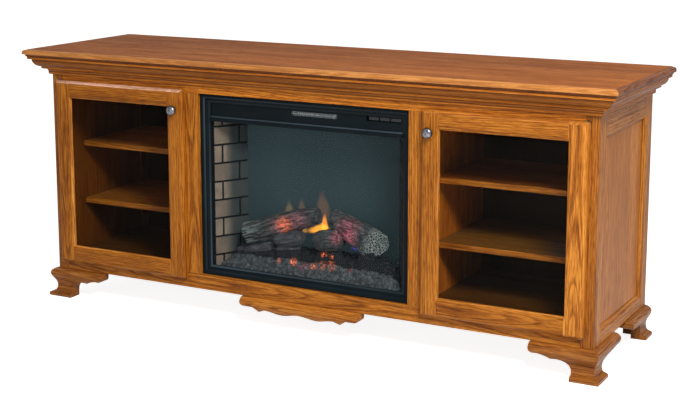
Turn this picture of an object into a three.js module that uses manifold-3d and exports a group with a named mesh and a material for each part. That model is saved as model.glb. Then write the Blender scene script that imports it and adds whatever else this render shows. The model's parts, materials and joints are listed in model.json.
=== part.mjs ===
// Fireplace TV stand: an oak case with two glazed doors, bracket feet and an electric fire insert.
// Millimetres, +Z up, front towards -Y. While a piece is shaped, x = 0 is the middle of the case,
// y = 0 the front of the face frame and z = 0 the floor. The last group moves y = 0 to mid-depth.

import * as THREE from 'three';
import { mergeVertices } from 'three/addons/utils/BufferGeometryUtils.js';
import Module from 'manifold-3d';

const wasm = await Module();
wasm.setup();

// Driving dimensions of the case
const caseWidth = 1727.2;
const caseDepth = 457.2;
const standHeight = 771;
const footHeight = 88;
const topThickness = 22;
const frameThickness = 20;
const seam = 0.3;
const overrun = 5;

// Face frame
const outerStileWidth = 36.6;
const innerStileWidth = 56.2;
const bottomRailHeight = 44.5;
const topRailReveal = 25;
const fireOpeningWidth = 671.6;

// Top board edge and crown moulding
const topOverhang = 63.5;
const topBevelReach = 11;
const topBevelDrop = 8;
const topFillet = 1.5;
const topNoseHeight = 7;
const topCoveReach = 8;
const crownHeight = 55;
const crownReach = 53;
const crownFootReach = 8.4;
const crownFootHeight = 2.5;
const crownCoveReach = 17;
const crownCoveTop = 17;
const crownFilletReach = 23.5;
const crownFilletTop = 23.5;
const crownBandReach = 9.5;
const crownBandHeight = 8;

// Side frames and panels
const sideStileWidth = 47;
const sideFrontStileWidth = 30;
const sideTopRail = 56;
const sideBottomRail = 31;
const sideBevelWidth = 11;
const sideBevelDepth = 9.5;
const sideBeadWidth = 3;
const sidePanelThickness = 6;

// Partitions, deck, back and shelves
const partitionThickness = 19;
const partitionSetIn = 14.2;
const deckThickness = 19;
const backThickness = 6;
const backInset = 3.2;
const cableHoleDiameter = 60;
const cableHoleAboveDeck = 283.5;
const serviceHoleInset = 60;
const shelfThickness = 16;
const shelfSetBack = 112;
const shelfBackGap = 7.7;
const shelfEndGap = 1.6;
const lowerShelfAboveDeck = 157.5;
const upperShelfAboveDeck = 339.5;
const shelfPinDiameter = 6;
const shelfPinReach = 10;
const shelfPinInset = 30;

// Bracket feet and valance
const footLegLength = 172;
const bracketBack = 22;
const lipReach = 3.5;
const shoulderReach = 12;
const shoulderDrop = 1.5;
const noseReach = 20;
const noseDrop = 15;
const noseTail = 12;
const waistReach = 5;
const waistShare = 0.78;
const waistEase = 15;
const filletReach = 8.5;
const filletAboveFloor = 19;
const filletHeight = 2;
const padSlopeReach = 18;
const padSlopeHeight = 14;
const padReach = 24;
const padHeight = 10.5;
const padChamfer = 3;
const footTipDrop = 13;
const footTipRound = 14;
const footScallopDrop = 27;
const footCuspFromCorner = 112;
const footCuspDrop = 38;
const footPadLength = 56;
const footArchAboveFloor = 17.7;
const cornerBlock = 45;
const cornerBlockAboveFloor = 48;
const valanceLength = 385;
const valanceTipDrop = 14;
const valanceTipRound = 16;
const valanceEndDrop = 25;
const valanceEndLength = 42;
const valanceCuspFromEnd = 60;
const valanceCuspDrop = 39;
const valanceWaveFromEnd = 80;
const valanceMidDrop = 35;
const valanceWaveHeight = 4;
const valanceWaves = 2;

// Doors
const doorSideOverlap = 12;
const doorUpperOverlap = 9;
const doorLowerOverlap = 15.5;
const doorThickness = 19;
const doorStandoff = 2;
const doorMemberWidth = 52;
const doorChamfer = 8;
const stickingWidth = 9;
const stickingDepth = 8;
const stickingFillet = 1.2;
const glassRebateWidth = 8;
const glassRebateDepth = 6;
const doorGlassThickness = 3;
const knobDiameter = 30;
const knobProjection = 24;
const knobBaseDiameter = 17;
const knobBaseHeight = 2.4;
const knobNeckDiameter = 10;
const knobNeckHeight = 8;
const knobRim = 3;
const knobStudDiameter = 5;
const knobStudLength = 10;
const knobBelowTop = 59;

// Pivot hinges at the top and bottom of each door's outer stile
const pivotFromEdge = 5;
const pivotFromBack = 8;
const pivotPinDiameter = 4;
const pivotPinLength = 9;
const pivotPlateThickness = 1.2;
const pivotLeafWidth = 9.5;
const pivotLeafHeight = 34;
const pivotEarGap = 0.6;
const pivotEarReach = 5;

// Fire insert: trim frame, hood, glass and housing
const insertGap = 0.8;
const trimFaceInset = 9;
const trimRim = 9;
const trimStepWidth = 5;
const trimStepDepth = 6;
const trimWidth = 27;
const trimDepth = 17.5;
const trimInnerEdge = 2.2;
const housingSideGap = 18;
const housingTopGap = 7;
const housingDepth = 178;
const housingWall = 3;
const hoodHeight = 62;
const hoodPlateThickness = 3;
const hoodLipHeight = 12;
const hoodLipReach = 9.6;
const hoodLipRound = 3;
const coverPlateLeft = -150;
const coverPlateWidth = 82;
const coverPlateAboveLip = 6;
const coverPlateHeight = 30;
const coverPlateRise = 0.6;
const meshSlotMiddle = 31;
const meshSlotWidth = 146;
const meshSlotHeight = 12;
const meshSlotAboveLip = 23.5;
const meshThickness = 1.5;
const meshBorder = 2.5;
const meshStrand = 1.3;
const meshDiamondsAlong = 20;
const meshDiamondRows = 2;
const controlFromEnd = 67;
const controlWidth = 105;
const controlHeight = 13;
const controlAboveLip = 26;
const controlDepth = 17;
const controlWall = 2;
const buttonGap = 3.5;
const buttonClearance = 2;
const buttonDepth = 6;
const buttonTravelGap = 2.2;
const buttonStemDiameter = 5;
const buttonStemLength = 8;
const glassThickness = 3;

// Firebox linings, fire bed and moving parts of the insert
const liningFromHousing = 8.8;
const liningSplay = 56;
const fireboxDepth = 96.6;
const ceilingAboveLip = 4;
const liningThickness = 6;
const brickHeight = 48.5;
const brickLength = 104;
const mortar = 6;
const brickRelief = 2;
const firstJointFromFront = 29;
const screenThickness = 3;
const bedSideGap = 3;
const bedFrontHeight = 9;
const bedCrestHeight = 60;
const crestShare = 0.34;
const ledgeStartShare = 0.37;
const ledgeShare = 0.55;
const ledgeHeight = 87;
const bedSideFall = 26;
const bedSideWidth = 40;
const coalSize = 7.3;
const coalHeight = 3;
const heapWall = 8;
const logRadius = 31;
const barkShare = 0.055;
const seatWidthShare = 0.3;
const seatDepthShare = 0.68;
const blowerRadius = 19;
const blowerLength = 140;
const blowerDiscThickness = 2;
const blowerBladeDepth = 5;
const blowerBladeThickness = 1.2;
const blowerBlades = 14;
const blowerFromHood = 46;
const axleRadius = 3;
const axleLength = 7;
const axleClearance = 0.4;
const bearingThickness = 4;
const bearingWidth = 16;
const rodRadius = 3.5;
const rodEndSpace = 95;
const rodAboveFloor = 42;
const paddleWidth = 26;
const paddleReach = 13;
const paddleThickness = 1.2;
const paddlePitch = 36;
const paddleTurn = 75;
const glandRadius = 9;
const glandLength = 12;
const glandFromSide = 90;
const glandAboveFloor = 94;

// Planes and edges that several pieces share
const halfCase = caseWidth / 2;
const caseTop = standHeight - topThickness - seam;
const crownBottom = standHeight - topThickness - crownHeight;
const openingBottom = footHeight + bottomRailHeight;
const openingTop = crownBottom - topRailReveal;
const openingMiddle = (openingBottom + openingTop) / 2;
const halfFireOpening = fireOpeningWidth / 2;
const innerStileEdge = halfFireOpening + innerStileWidth;
const outerStileEdge = halfCase - outerStileWidth;
const frameBack = frameThickness + seam;
const sideInner = halfCase - frameThickness;
const sidePanelOuter = halfCase - sideBevelDepth - seam;
const sidePanelInner = sidePanelOuter - sidePanelThickness;
const partitionInner = halfFireOpening + partitionSetIn;
const partitionOuter = partitionInner + partitionThickness;
const deckTop = openingBottom;
const lowerShelfTop = deckTop + lowerShelfAboveDeck;
const upperShelfTop = deckTop + upperShelfAboveDeck;
const backOuter = caseDepth - backInset;
const backInner = backOuter - backThickness;
const boardsBack = backInner - seam;
const bayMiddle = (partitionOuter + sideInner) / 2;
const doorInner = innerStileEdge - doorSideOverlap;
const doorOuter = outerStileEdge + doorSideOverlap;
const doorBottom = openingBottom - doorLowerOverlap;
const doorTop = openingTop + doorUpperOverlap;
const doorBack = -doorStandoff;
const doorFront = doorBack - doorThickness;
const pivotX = doorOuter - pivotFromEdge;
const pivotY = doorBack - pivotFromBack;
const footTop = footHeight - seam;
const trimBack = trimFaceInset + trimDepth;
const insertFront = trimBack + seam;
const halfHousing = halfFireOpening - housingSideGap;
const housingInner = halfHousing - housingWall;
const housingBottom = deckTop + seam;
const housingTop = openingTop - housingTopGap;
const housingBack = insertFront + housingDepth;
const hoodLipTop = housingTop - hoodHeight;
const fireboxCeiling = hoodLipTop + ceilingAboveLip;
const fireboxFloor = housingBottom + housingWall + seam;
const hoodBack = insertFront + seam + hoodPlateThickness;
const glassBack = insertFront + seam + glassThickness;
const fireboxFront = glassBack + 4 * seam;
const fireboxBack = fireboxFront + fireboxDepth;
const fireboxFrontHalf = housingInner - liningFromHousing;
const fireboxBackHalf = fireboxFrontHalf - liningSplay;
const screenFront = fireboxBack + seam;
const screenBack = screenFront + screenThickness;
const meshSlotBottom = hoodLipTop + meshSlotAboveLip;
const controlBottom = hoodLipTop + controlAboveLip;
const controlMiddle = housingInner - seam - controlFromEnd;
const blowerY = hoodBack + blowerFromHood;
const blowerAxisHeight = (fireboxCeiling + housingTop) / 2;
const rodY = (screenBack + housingBack - housingWall) / 2;
const rodAxisHeight = housingBottom + housingWall + rodAboveFloor;

// Materials
const oak = new THREE.MeshStandardMaterial({ color: 0xb8703a, roughness: 0.42, metalness: 0 });
const oakTop = new THREE.MeshStandardMaterial({ color: 0x8f4f2c, roughness: 0.35, metalness: 0 });
const plywood = new THREE.MeshStandardMaterial({ color: 0xa9713f, roughness: 0.6, metalness: 0 });
const glass = new THREE.MeshStandardMaterial({ color: 0xdde6e6, roughness: 0.05, metalness: 0 });
const pewter = new THREE.MeshStandardMaterial({ color: 0x8b8d90, roughness: 0.35, metalness: 0.9 });
const hingeSteel = new THREE.MeshStandardMaterial({ color: 0x6a5f50, roughness: 0.4, metalness: 0.9 });
const blackSteel = new THREE.MeshStandardMaterial({ color: 0x15181b, roughness: 0.5, metalness: 0.4 });
const meshSteel = new THREE.MeshStandardMaterial({ color: 0x9aa0a0, roughness: 0.35, metalness: 0.9 });
const zincSteel = new THREE.MeshStandardMaterial({ color: 0xa8abad, roughness: 0.4, metalness: 0.9 });
const brick = new THREE.MeshStandardMaterial({ color: 0x8f8072, roughness: 0.9, metalness: 0 });
const smokeScreen = new THREE.MeshStandardMaterial({ color: 0x2c3b3e, roughness: 0.4, metalness: 0 });
const charredResin = new THREE.MeshStandardMaterial({ color: 0x4d4a48, roughness: 0.9, metalness: 0 });
const emberResin = new THREE.MeshStandardMaterial({ color: 0x3b4448, roughness: 0.9, metalness: 0 });
const greyPlastic = new THREE.MeshStandardMaterial({ color: 0x50565a, roughness: 0.5, metalness: 0 });

// Geometry helpers

// The low and high plane of a size laid evenly round a middle.
function around(middle, size) {
  return [middle - size / 2, middle + size / 2];
}

// A block from its low and high planes along each axis.
function block([x0, x1], [y0, y1], [z0, z1]) {
  const geometry = new THREE.BoxGeometry(x1 - x0, y1 - y0, z1 - z0);
  return geometry.translate((x0 + x1) / 2, (y0 + y1) / 2, (z0 + z1) / 2);
}

// A round bar of the given radius, from one end to the other along 'x', 'y' or 'z'.
function bar(radius, axis, centre, from, to, sides) {
  const geometry = new THREE.CylinderGeometry(radius, radius, to - from, sides);
  const middle = (from + to) / 2;
  if (axis === 'x') return geometry.rotateZ(-Math.PI / 2).translate(middle, centre[0], centre[1]);
  if (axis === 'y') return geometry.translate(centre[0], middle, centre[1]);
  return geometry.rotateX(Math.PI / 2).translate(centre[0], centre[1], middle);
}

// Six times the volume inside the faces, negative when they point inwards.
function signedVolume(positions, faces) {
  const at = (i) => new THREE.Vector3(...positions.slice(3 * i, 3 * i + 3));
  let sum = 0;
  for (let i = 0; i < faces.length; i += 3) {
    sum += at(faces[i]).dot(at(faces[i + 1]).cross(at(faces[i + 2])));
  }
  return sum;
}

// Joins rings of points into one closed skin. With an outline, the two end rings are capped by it;
// without one, the last ring joins the first.
function skin(rings, outline = null) {
  const clockwise = outline !== null && THREE.ShapeUtils.isClockWise(outline);
  const flat = clockwise ? [...outline].reverse() : outline;
  const sections = clockwise ? rings.map((ring) => [...ring].reverse()) : rings;
  const count = sections[0].length;
  const positions = sections.flat().flatMap((point) => point.toArray());
  const faces = [];
  const spans = flat ? sections.length - 1 : sections.length;
  for (let i = 0; i < spans; i += 1) {
    const here = i * count;
    const next = ((i + 1) % sections.length) * count;
    for (let j = 0; j < count; j += 1) {
      const k = (j + 1) % count;
      faces.push(here + j, here + k, next + k, here + j, next + k, next + j);
    }
  }
  if (flat) {
    const last = (sections.length - 1) * count;
    for (const [a, b, c] of THREE.ShapeUtils.triangulateShape(flat, [])) {
      faces.push(a, c, b, last + a, last + b, last + c);
    }
  }
  if (signedVolume(positions, faces) < 0) faces.reverse();
  const geometry = new THREE.BufferGeometry();
  geometry.setAttribute('position', new THREE.Float32BufferAttribute(positions, 3));
  geometry.setIndex(faces);
  return geometry;
}

// A moulding swept through stops. Each section point is (reach from the wall, height); each stop is
// the wall's corner there and the direction in which reach is measured, so mitres come out true.
function mouldingRun(section, stops) {
  const rings = stops.map(({ x, y, outX, outY }) => section.map(
    (point) => new THREE.Vector3(x + outX * point.x, y + outY * point.x, point.y),
  ));
  return skin(rings, section);
}

// A mitred rectangular frame standing in the XZ plane, round the origin. Each section point is
// (distance in from the outer edge, y).
function mitredFrame(section, halfWidth, halfHeight) {
  const corners = [[-1, -1], [1, -1], [1, 1], [-1, 1]];
  return skin(corners.map(([signX, signZ]) => section.map(
    (point) => new THREE.Vector3(signX * (halfWidth - point.x), point.y, signZ * (halfHeight - point.x)),
  )));
}

// An outline in the XZ plane made solid between two y planes.
function slabXZ(points, y0, y1) {
  const depth = y1 - y0;
  const geometry = new THREE.ExtrudeGeometry(new THREE.Shape(points), { depth, bevelEnabled: false });
  return geometry.rotateX(Math.PI / 2).translate(0, y1, 0);
}

// An outline in the XY plane made solid between two heights.
function slabXY(points, z0, z1) {
  const depth = z1 - z0;
  const geometry = new THREE.ExtrudeGeometry(new THREE.Shape(points), { depth, bevelEnabled: false });
  return geometry.translate(0, 0, z0);
}

// Mirrors a geometry in the plane x = 0 and keeps its faces pointing out.
function mirrored(geometry) {
  const source = geometry.index ? geometry.clone() : mergeVertices(bare(geometry));
  const positions = source.attributes.position;
  for (let i = 0; i < positions.count; i += 1) positions.setX(i, -positions.getX(i));
  source.setIndex([...source.index.array].reverse());
  return source;
}

// The same geometry with nothing but position.
function bare(geometry) {
  const copy = geometry.clone();
  for (const name of Object.keys(copy.attributes)) {
    if (name !== 'position') copy.deleteAttribute(name);
  }
  return copy;
}

function solid(geometry) {
  const merged = mergeVertices(bare(geometry));
  return new wasm.Manifold(new wasm.Mesh({
    numProp: 3,
    vertProperties: new Float32Array(merged.attributes.position.array),
    triVerts: new Uint32Array(merged.index.array),
  }));
}

function geometryOf(manifold) {
  const mesh = manifold.getMesh();
  const geometry = new THREE.BufferGeometry();
  geometry.setAttribute('position', new THREE.BufferAttribute(new Float32Array(mesh.vertProperties), 3));
  geometry.setIndex([...mesh.triVerts]);
  return geometry;
}

function joined(...geometries) {
  return geometryOf(geometries.map(solid).reduce((sum, next) => sum.add(next)));
}

function cut(geometry, ...tools) {
  return geometryOf(tools.map(solid).reduce((rest, tool) => rest.subtract(tool), solid(geometry)));
}

function common(first, second) {
  return geometryOf(solid(first).intersect(solid(second)));
}

function piece(name, geometry, material, position = [0, 0, 0]) {
  const mesh = new THREE.Mesh(geometry, material);
  mesh.name = name;
  mesh.position.set(...position);
  return mesh;
}

// Builds the right-hand piece and its mirror image.
function pair(name, geometry, material) {
  return [piece(`${name}_right`, geometry, material), piece(`${name}_left`, mirrored(geometry), material)];
}

// Top board: one ring for each point of the moulded edge, square at the back.
function topBoard() {
  const bottom = standHeight - topThickness;
  const bevelFoot = standHeight - topBevelDrop;
  const noseFoot = bevelFoot - topNoseHeight;
  const edge = new THREE.Path();
  edge.moveTo(topOverhang - topCoveReach, bottom);
  edge.quadraticCurveTo(topOverhang - topCoveReach, noseFoot, topOverhang - topFillet, noseFoot);
  edge.lineTo(topOverhang, noseFoot);
  edge.lineTo(topOverhang, bevelFoot - topFillet);
  edge.quadraticCurveTo(
    topOverhang, standHeight - topFillet, topOverhang - topBevelReach, standHeight - topFillet,
  );
  edge.lineTo(topOverhang - topBevelReach - topFillet, standHeight);
  const rings = edge.getPoints(5).map(({ x: reach, y: z }) => [
    new THREE.Vector3(-halfCase - reach, -reach, z),
    new THREE.Vector3(halfCase + reach, -reach, z),
    new THREE.Vector3(halfCase + reach, caseDepth, z),
    new THREE.Vector3(-halfCase - reach, caseDepth, z),
  ]);
  const cap = rings[0].map((point) => new THREE.Vector2(point.x, point.y));
  return piece('top_board', skin(rings, cap), oakTop);
}

// Crown moulding section: foot, small cove, fillet, large ovolo and top fillet.
function crownSection() {
  const crown = new THREE.Path();
  crown.moveTo(seam, 0);
  crown.lineTo(crownFootReach, 0);
  crown.lineTo(crownFootReach, crownFootHeight);
  crown.quadraticCurveTo(crownFootReach, crownCoveTop, crownCoveReach, crownCoveTop);
  crown.lineTo(crownFilletReach, crownCoveTop);
  crown.lineTo(crownFilletReach, crownFilletTop);
  const bandBottom = crownHeight - crownBandHeight;
  const ovoloWidth = crownReach - crownBandReach - crownFilletReach;
  const ovoloHeight = bandBottom - crownFilletTop;
  crown.absellipse(crownFilletReach, bandBottom, ovoloWidth, ovoloHeight, -Math.PI / 2, 0, false, 0);
  crown.lineTo(crownReach, bandBottom);
  crown.lineTo(crownReach, crownHeight - seam);
  crown.lineTo(seam, crownHeight - seam);
  const points = crown.getPoints(6).map((point) => new THREE.Vector2(point.x, point.y + crownBottom));
  return points.filter((point, i) => i === 0 || point.distanceTo(points[i - 1]) > seam / 2);
}

function crown() {
  const section = crownSection();
  const front = mouldingRun(section, [
    { x: -halfCase + seam, y: 0, outX: -1, outY: -1 },
    { x: halfCase - seam, y: 0, outX: 1, outY: -1 },
  ]);
  const side = mouldingRun(section, [
    { x: halfCase, y: 0, outX: 1, outY: -1 },
    { x: halfCase, y: caseDepth, outX: 1, outY: 0 },
  ]);
  return [piece('crown_front', front, oak), ...pair('crown_side', side, oak)];
}

// Mortise for a pivot hinge leaf in the front of an outer stile.
function pivotMortise(earHeight, leafHeight) {
  const low = Math.min(earHeight, leafHeight) - seam;
  const high = Math.max(earHeight, leafHeight) + seam;
  return block(
    [doorOuter - pivotLeafWidth - seam, doorOuter + seam],
    [-overrun, seam + pivotPlateThickness + seam],
    [low, high],
  );
}

const upperEar = doorTop + pivotEarGap;
const lowerEar = doorBottom - pivotEarGap;
const upperEarTop = upperEar + pivotPlateThickness;
const lowerEarBottom = lowerEar - pivotPlateThickness;

function faceFrame() {
  const outerStile = cut(
    block([outerStileEdge, halfCase], [0, frameThickness], [footHeight, caseTop]),
    pivotMortise(upperEarTop, upperEarTop - pivotLeafHeight),
    pivotMortise(lowerEarBottom, lowerEarBottom + pivotLeafHeight),
  );
  const railHalf = outerStileEdge - seam;
  const innerStile = block(
    [halfFireOpening, innerStileEdge], [0, frameThickness], [openingBottom + seam, openingTop - seam],
  );
  const bottomRail = block([-railHalf, railHalf], [0, frameThickness], [footHeight, openingBottom]);
  const topRail = block([-railHalf, railHalf], [0, frameThickness], [openingTop, caseTop]);
  return [
    ...pair('outer_stile', outerStile, oak),
    ...pair('inner_stile', innerStile, oak),
    piece('bottom_rail', bottomRail, oak),
    piece('top_rail', topRail, oak),
  ];
}

// One side of the case: a frame with a beaded bevel round a flat panel, which carries shelf pins.
function caseSides() {
  const y0 = frameBack;
  const outerFace = halfCase;
  const openFront = frameBack + sideFrontStileWidth;
  const openBack = caseDepth - sideStileWidth;
  const openBottom = footHeight + sideBottomRail;
  const openTop = crownBottom - sideTopRail;
  // Rectangles round the opening, from the outer face through the bevel to the inner face.
  const rectangle = (inset, x) => [
    new THREE.Vector3(x, openFront + inset, openBottom + inset),
    new THREE.Vector3(x, openBack - inset, openBottom + inset),
    new THREE.Vector3(x, openBack - inset, openTop - inset),
    new THREE.Vector3(x, openFront + inset, openTop - inset),
  ];
  const beadFoot = outerFace - sideBeadWidth / 2;
  const bevelFoot = outerFace - sideBevelDepth;
  const hole = [
    rectangle(0, outerFace + overrun),
    rectangle(0, beadFoot),
    rectangle(sideBeadWidth, beadFoot),
    rectangle(sideBevelWidth, bevelFoot + sideBeadWidth / 2),
    rectangle(sideBevelWidth, bevelFoot),
    rectangle(sideBevelWidth, sideInner - overrun),
  ];
  const cap = hole[0].map((point) => new THREE.Vector2(point.y, point.z));
  const rebate = block(
    [sideInner - overrun, bevelFoot],
    [openFront - seam, openBack + seam],
    [openBottom - seam, openTop + seam],
  );
  const frame = cut(
    block([sideInner, outerFace], [y0, caseDepth], [footHeight, caseTop]), skin(hole, cap), rebate,
  );
  const board = block([sidePanelInner, sidePanelOuter], [openFront, openBack], [openBottom, openTop]);
  const pins = shelfPinHoles().map(([y, z]) => bar(
    shelfPinDiameter / 2, 'x', [y, z], sideInner - shelfPinReach, sidePanelOuter - sidePanelThickness / 2, 12,
  ));
  return [...pair('side_frame', frame, oak), ...pair('side_panel', joined(board, ...pins), oak)];
}

// Where the shelf pins stand, as (y, z) of their middles.
function shelfPinHoles() {
  const front = shelfSetBack + shelfPinInset;
  const back = boardsBack - shelfBackGap - shelfPinInset * 2;
  const drop = shelfThickness + seam + shelfPinDiameter / 2;
  return [lowerShelfTop, upperShelfTop].flatMap((top) => [[front, top - drop], [back, top - drop]]);
}

function interior() {
  const board = block([partitionInner, partitionOuter], [frameBack, boardsBack], [deckTop + seam, caseTop]);
  const pins = shelfPinHoles().map(([y, z]) => bar(
    shelfPinDiameter / 2, 'x', [y, z],
    partitionOuter - partitionThickness / 2, partitionOuter + shelfPinReach, 12,
  ));
  const deckHalf = sideInner - seam;
  const deck = block([-deckHalf, deckHalf], [frameBack, boardsBack], [deckTop - deckThickness, deckTop]);
  const cableHole = (x) => bar(
    cableHoleDiameter / 2, 'y', [x, deckTop + cableHoleAboveDeck],
    backInner - overrun, backOuter + overrun, 24,
  );
  const serviceHole = block(
    around(0, fireOpeningWidth - 2 * serviceHoleInset),
    [backInner - overrun, backOuter + overrun],
    [openingBottom + serviceHoleInset, openingTop - serviceHoleInset],
  );
  const back = cut(
    block([-deckHalf, deckHalf], [backInner, backOuter], [deckTop - deckThickness, caseTop]),
    cableHole(-bayMiddle), cableHole(bayMiddle), serviceHole,
  );
  return [
    ...pair('partition', joined(board, ...pins), plywood),
    piece('bottom_deck', deck, plywood),
    piece('back_panel', back, plywood),
  ];
}

function shelves() {
  const x = [partitionOuter + shelfEndGap, sideInner - shelfEndGap];
  const y = [shelfSetBack, boardsBack - shelfBackGap];
  const board = (top) => block(x, y, [top - shelfThickness, top]);
  return [
    ...pair('shelf_lower', board(lowerShelfTop), oak),
    ...pair('shelf_upper', board(upperShelfTop), oak),
  ];
}

// Ogee face shared by the feet and the valance, from the top lip down to the given end.
function ogeeFace(top) {
  const face = new THREE.Path();
  face.moveTo(lipReach, top);
  face.bezierCurveTo(
    shoulderReach, top - shoulderDrop, noseReach, top - noseDrop / 2, noseReach, top - noseDrop,
  );
  const fillet = top - footTop + filletAboveFloor;
  const waist = THREE.MathUtils.lerp(top, fillet, waistShare);
  face.bezierCurveTo(
    noseReach, top - noseDrop - noseTail, waistReach, waist + waistEase, waistReach, waist,
  );
  face.bezierCurveTo(
    waistReach, waist - waistEase / 2, (waistReach + filletReach) / 2, fillet, filletReach, fillet,
  );
  return face;
}

function footSection() {
  const face = ogeeFace(footTop);
  face.lineTo(filletReach, filletAboveFloor - filletHeight);
  face.quadraticCurveTo(padSlopeReach, padSlopeHeight, padReach, padHeight);
  face.lineTo(padReach, padChamfer);
  face.lineTo(padReach - padChamfer, 0);
  return [
    new THREE.Vector2(-bracketBack, 0), new THREE.Vector2(-bracketBack, footTop), ...face.getPoints(6),
  ];
}

// What the scroll saw takes away under a bracket, as points of (distance from the corner, height).
function footScroll() {
  const saw = new THREE.Path();
  saw.moveTo(footLegLength + overrun, footTop - footTipDrop);
  saw.lineTo(footLegLength, footTop - footTipDrop);
  saw.quadraticCurveTo(
    footLegLength, footTop - footScallopDrop, footLegLength - footTipRound, footTop - footScallopDrop,
  );
  saw.quadraticCurveTo(
    (footLegLength + footCuspFromCorner) / 2, footTop - footScallopDrop + footTipRound / 4,
    footCuspFromCorner, footTop - footCuspDrop,
  );
  saw.bezierCurveTo(
    (footCuspFromCorner + footPadLength) / 2 + footTipRound / 2, footTop - footCuspDrop + footTipRound / 3,
    footPadLength, footTop - footCuspDrop, footPadLength, footArchAboveFloor,
  );
  saw.lineTo(footPadLength, -overrun);
  saw.lineTo(footLegLength + overrun, -overrun);
  return saw.getPoints(7);
}

function feet() {
  const section = footSection();
  const scroll = footScroll();
  const reach = padReach + overrun;
  const inside = bracketBack + overrun;
  const frontScroll = scroll.map((p) => new THREE.Vector2(halfCase - p.x, p.y));
  const alongFront = slabXZ(frontScroll, -reach, inside);
  const sideSlab = (y) => {
    const slab = slabXZ(scroll.map((p) => new THREE.Vector2(y(p.x), p.y)), -inside, reach);
    return slab.rotateZ(Math.PI / 2).scale(-1, 1, 1);
  };
  const alongSide = (y) => mirroredFaces(sideSlab(y)).translate(halfCase, 0, 0);
  const blockTop = deckTop - deckThickness - seam;
  const blockHigh = sideInner - 2 * seam;
  const frontCorner = mouldingRun(section, [
    { x: halfCase - footLegLength, y: 0, outX: 0, outY: -1 },
    { x: halfCase, y: 0, outX: 1, outY: -1 },
    { x: halfCase, y: footLegLength, outX: 1, outY: 0 },
  ]);
  const frontBlock = block(
    [blockHigh - cornerBlock, blockHigh],
    [frameBack + seam, frameBack + seam + cornerBlock],
    [cornerBlockAboveFloor, blockTop],
  );
  const frontFoot = joined(cut(frontCorner, alongFront, alongSide((u) => u)), frontBlock);
  const rearCorner = mouldingRun(section, [
    { x: halfCase, y: caseDepth - footLegLength, outX: 1, outY: 0 },
    { x: halfCase, y: caseDepth, outX: 1, outY: 0 },
  ]);
  const rearBoard = cut(
    block(
      [halfCase - footLegLength, halfCase - overrun],
      [caseDepth - frameThickness, caseDepth],
      [0, footTop],
    ),
    slabXZ(frontScroll, caseDepth - inside, caseDepth + overrun),
  );
  const rearBlock = block(
    [blockHigh - cornerBlock, blockHigh],
    [boardsBack - cornerBlock - frameThickness, boardsBack - seam],
    [cornerBlockAboveFloor, blockTop],
  );
  const rearFoot = joined(cut(rearCorner, alongSide((u) => caseDepth - u)), rearBoard, rearBlock);
  return [...pair('front_foot', frontFoot, oak), ...pair('rear_foot', rearFoot, oak)];
}

// Turns every face over, for a geometry that was scaled by a negative number.
function mirroredFaces(geometry) {
  const source = mergeVertices(bare(geometry));
  source.setIndex([...source.index.array].reverse());
  return source;
}

// Valance under the middle of the bottom rail: ogee face, scalloped lower edge.
function valance() {
  const half = valanceLength / 2;
  const bottom = footTop - valanceCuspDrop - overrun;
  const face = ogeeFace(footTop).getPoints(6).filter((point) => point.y > bottom);
  const last = face[face.length - 1];
  const section = [
    new THREE.Vector2(-bracketBack, bottom), new THREE.Vector2(-bracketBack, footTop), ...face,
    new THREE.Vector2(last.x, bottom),
  ];
  const strip = mouldingRun(section, [
    { x: -half, y: 0, outX: 0, outY: -1 },
    { x: half, y: 0, outX: 0, outY: -1 },
  ]);
  const end = new THREE.Path();
  end.moveTo(half + overrun, footTop - valanceTipDrop);
  end.lineTo(half, footTop - valanceTipDrop);
  end.quadraticCurveTo(half, footTop - valanceEndDrop, half - valanceTipRound, footTop - valanceEndDrop);
  end.lineTo(half - valanceEndLength, footTop - valanceEndDrop);
  end.lineTo(half - valanceCuspFromEnd, footTop - valanceCuspDrop);
  const rightEnd = end.getPoints(5);
  const waveHalf = half - valanceWaveFromEnd;
  const steps = 32;
  const waves = Array.from({ length: steps + 1 }, (_, i) => {
    const share = 1 - (2 * i) / steps;
    const lift = valanceWaveHeight * Math.cos(2 * Math.PI * valanceWaves * (share / 2));
    return new THREE.Vector2(waveHalf * share, footTop - valanceMidDrop + lift);
  });
  const leftEnd = rightEnd.map((point) => new THREE.Vector2(-point.x, point.y)).reverse();
  const low = bottom - overrun;
  const saw = [
    ...rightEnd, ...waves, ...leftEnd,
    new THREE.Vector2(-half - overrun, low), new THREE.Vector2(half + overrun, low),
  ];
  const scallop = slabXZ(saw, -padReach - overrun, bracketBack + overrun);
  return piece('valance', cut(strip, scallop), oak);
}

// Door frame section: outer bevel, flat face, inner sticking and the rebate that holds the glass.
function doorSection() {
  const face = doorFront;
  const section = new THREE.Path();
  section.moveTo(0, doorBack);
  section.lineTo(0, face + doorChamfer);
  section.quadraticCurveTo(doorChamfer / 4, face + doorChamfer / 4, doorChamfer, face);
  section.lineTo(doorMemberWidth - stickingWidth, face);
  section.lineTo(doorMemberWidth - stickingWidth, face + stickingFillet);
  section.quadraticCurveTo(
    doorMemberWidth, face + stickingFillet, doorMemberWidth, face + stickingDepth,
  );
  section.lineTo(doorMemberWidth, doorBack - glassRebateDepth);
  section.lineTo(doorMemberWidth - glassRebateWidth, doorBack - glassRebateDepth);
  section.lineTo(doorMemberWidth - glassRebateWidth, doorBack);
  return section.getPoints(4);
}

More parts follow.
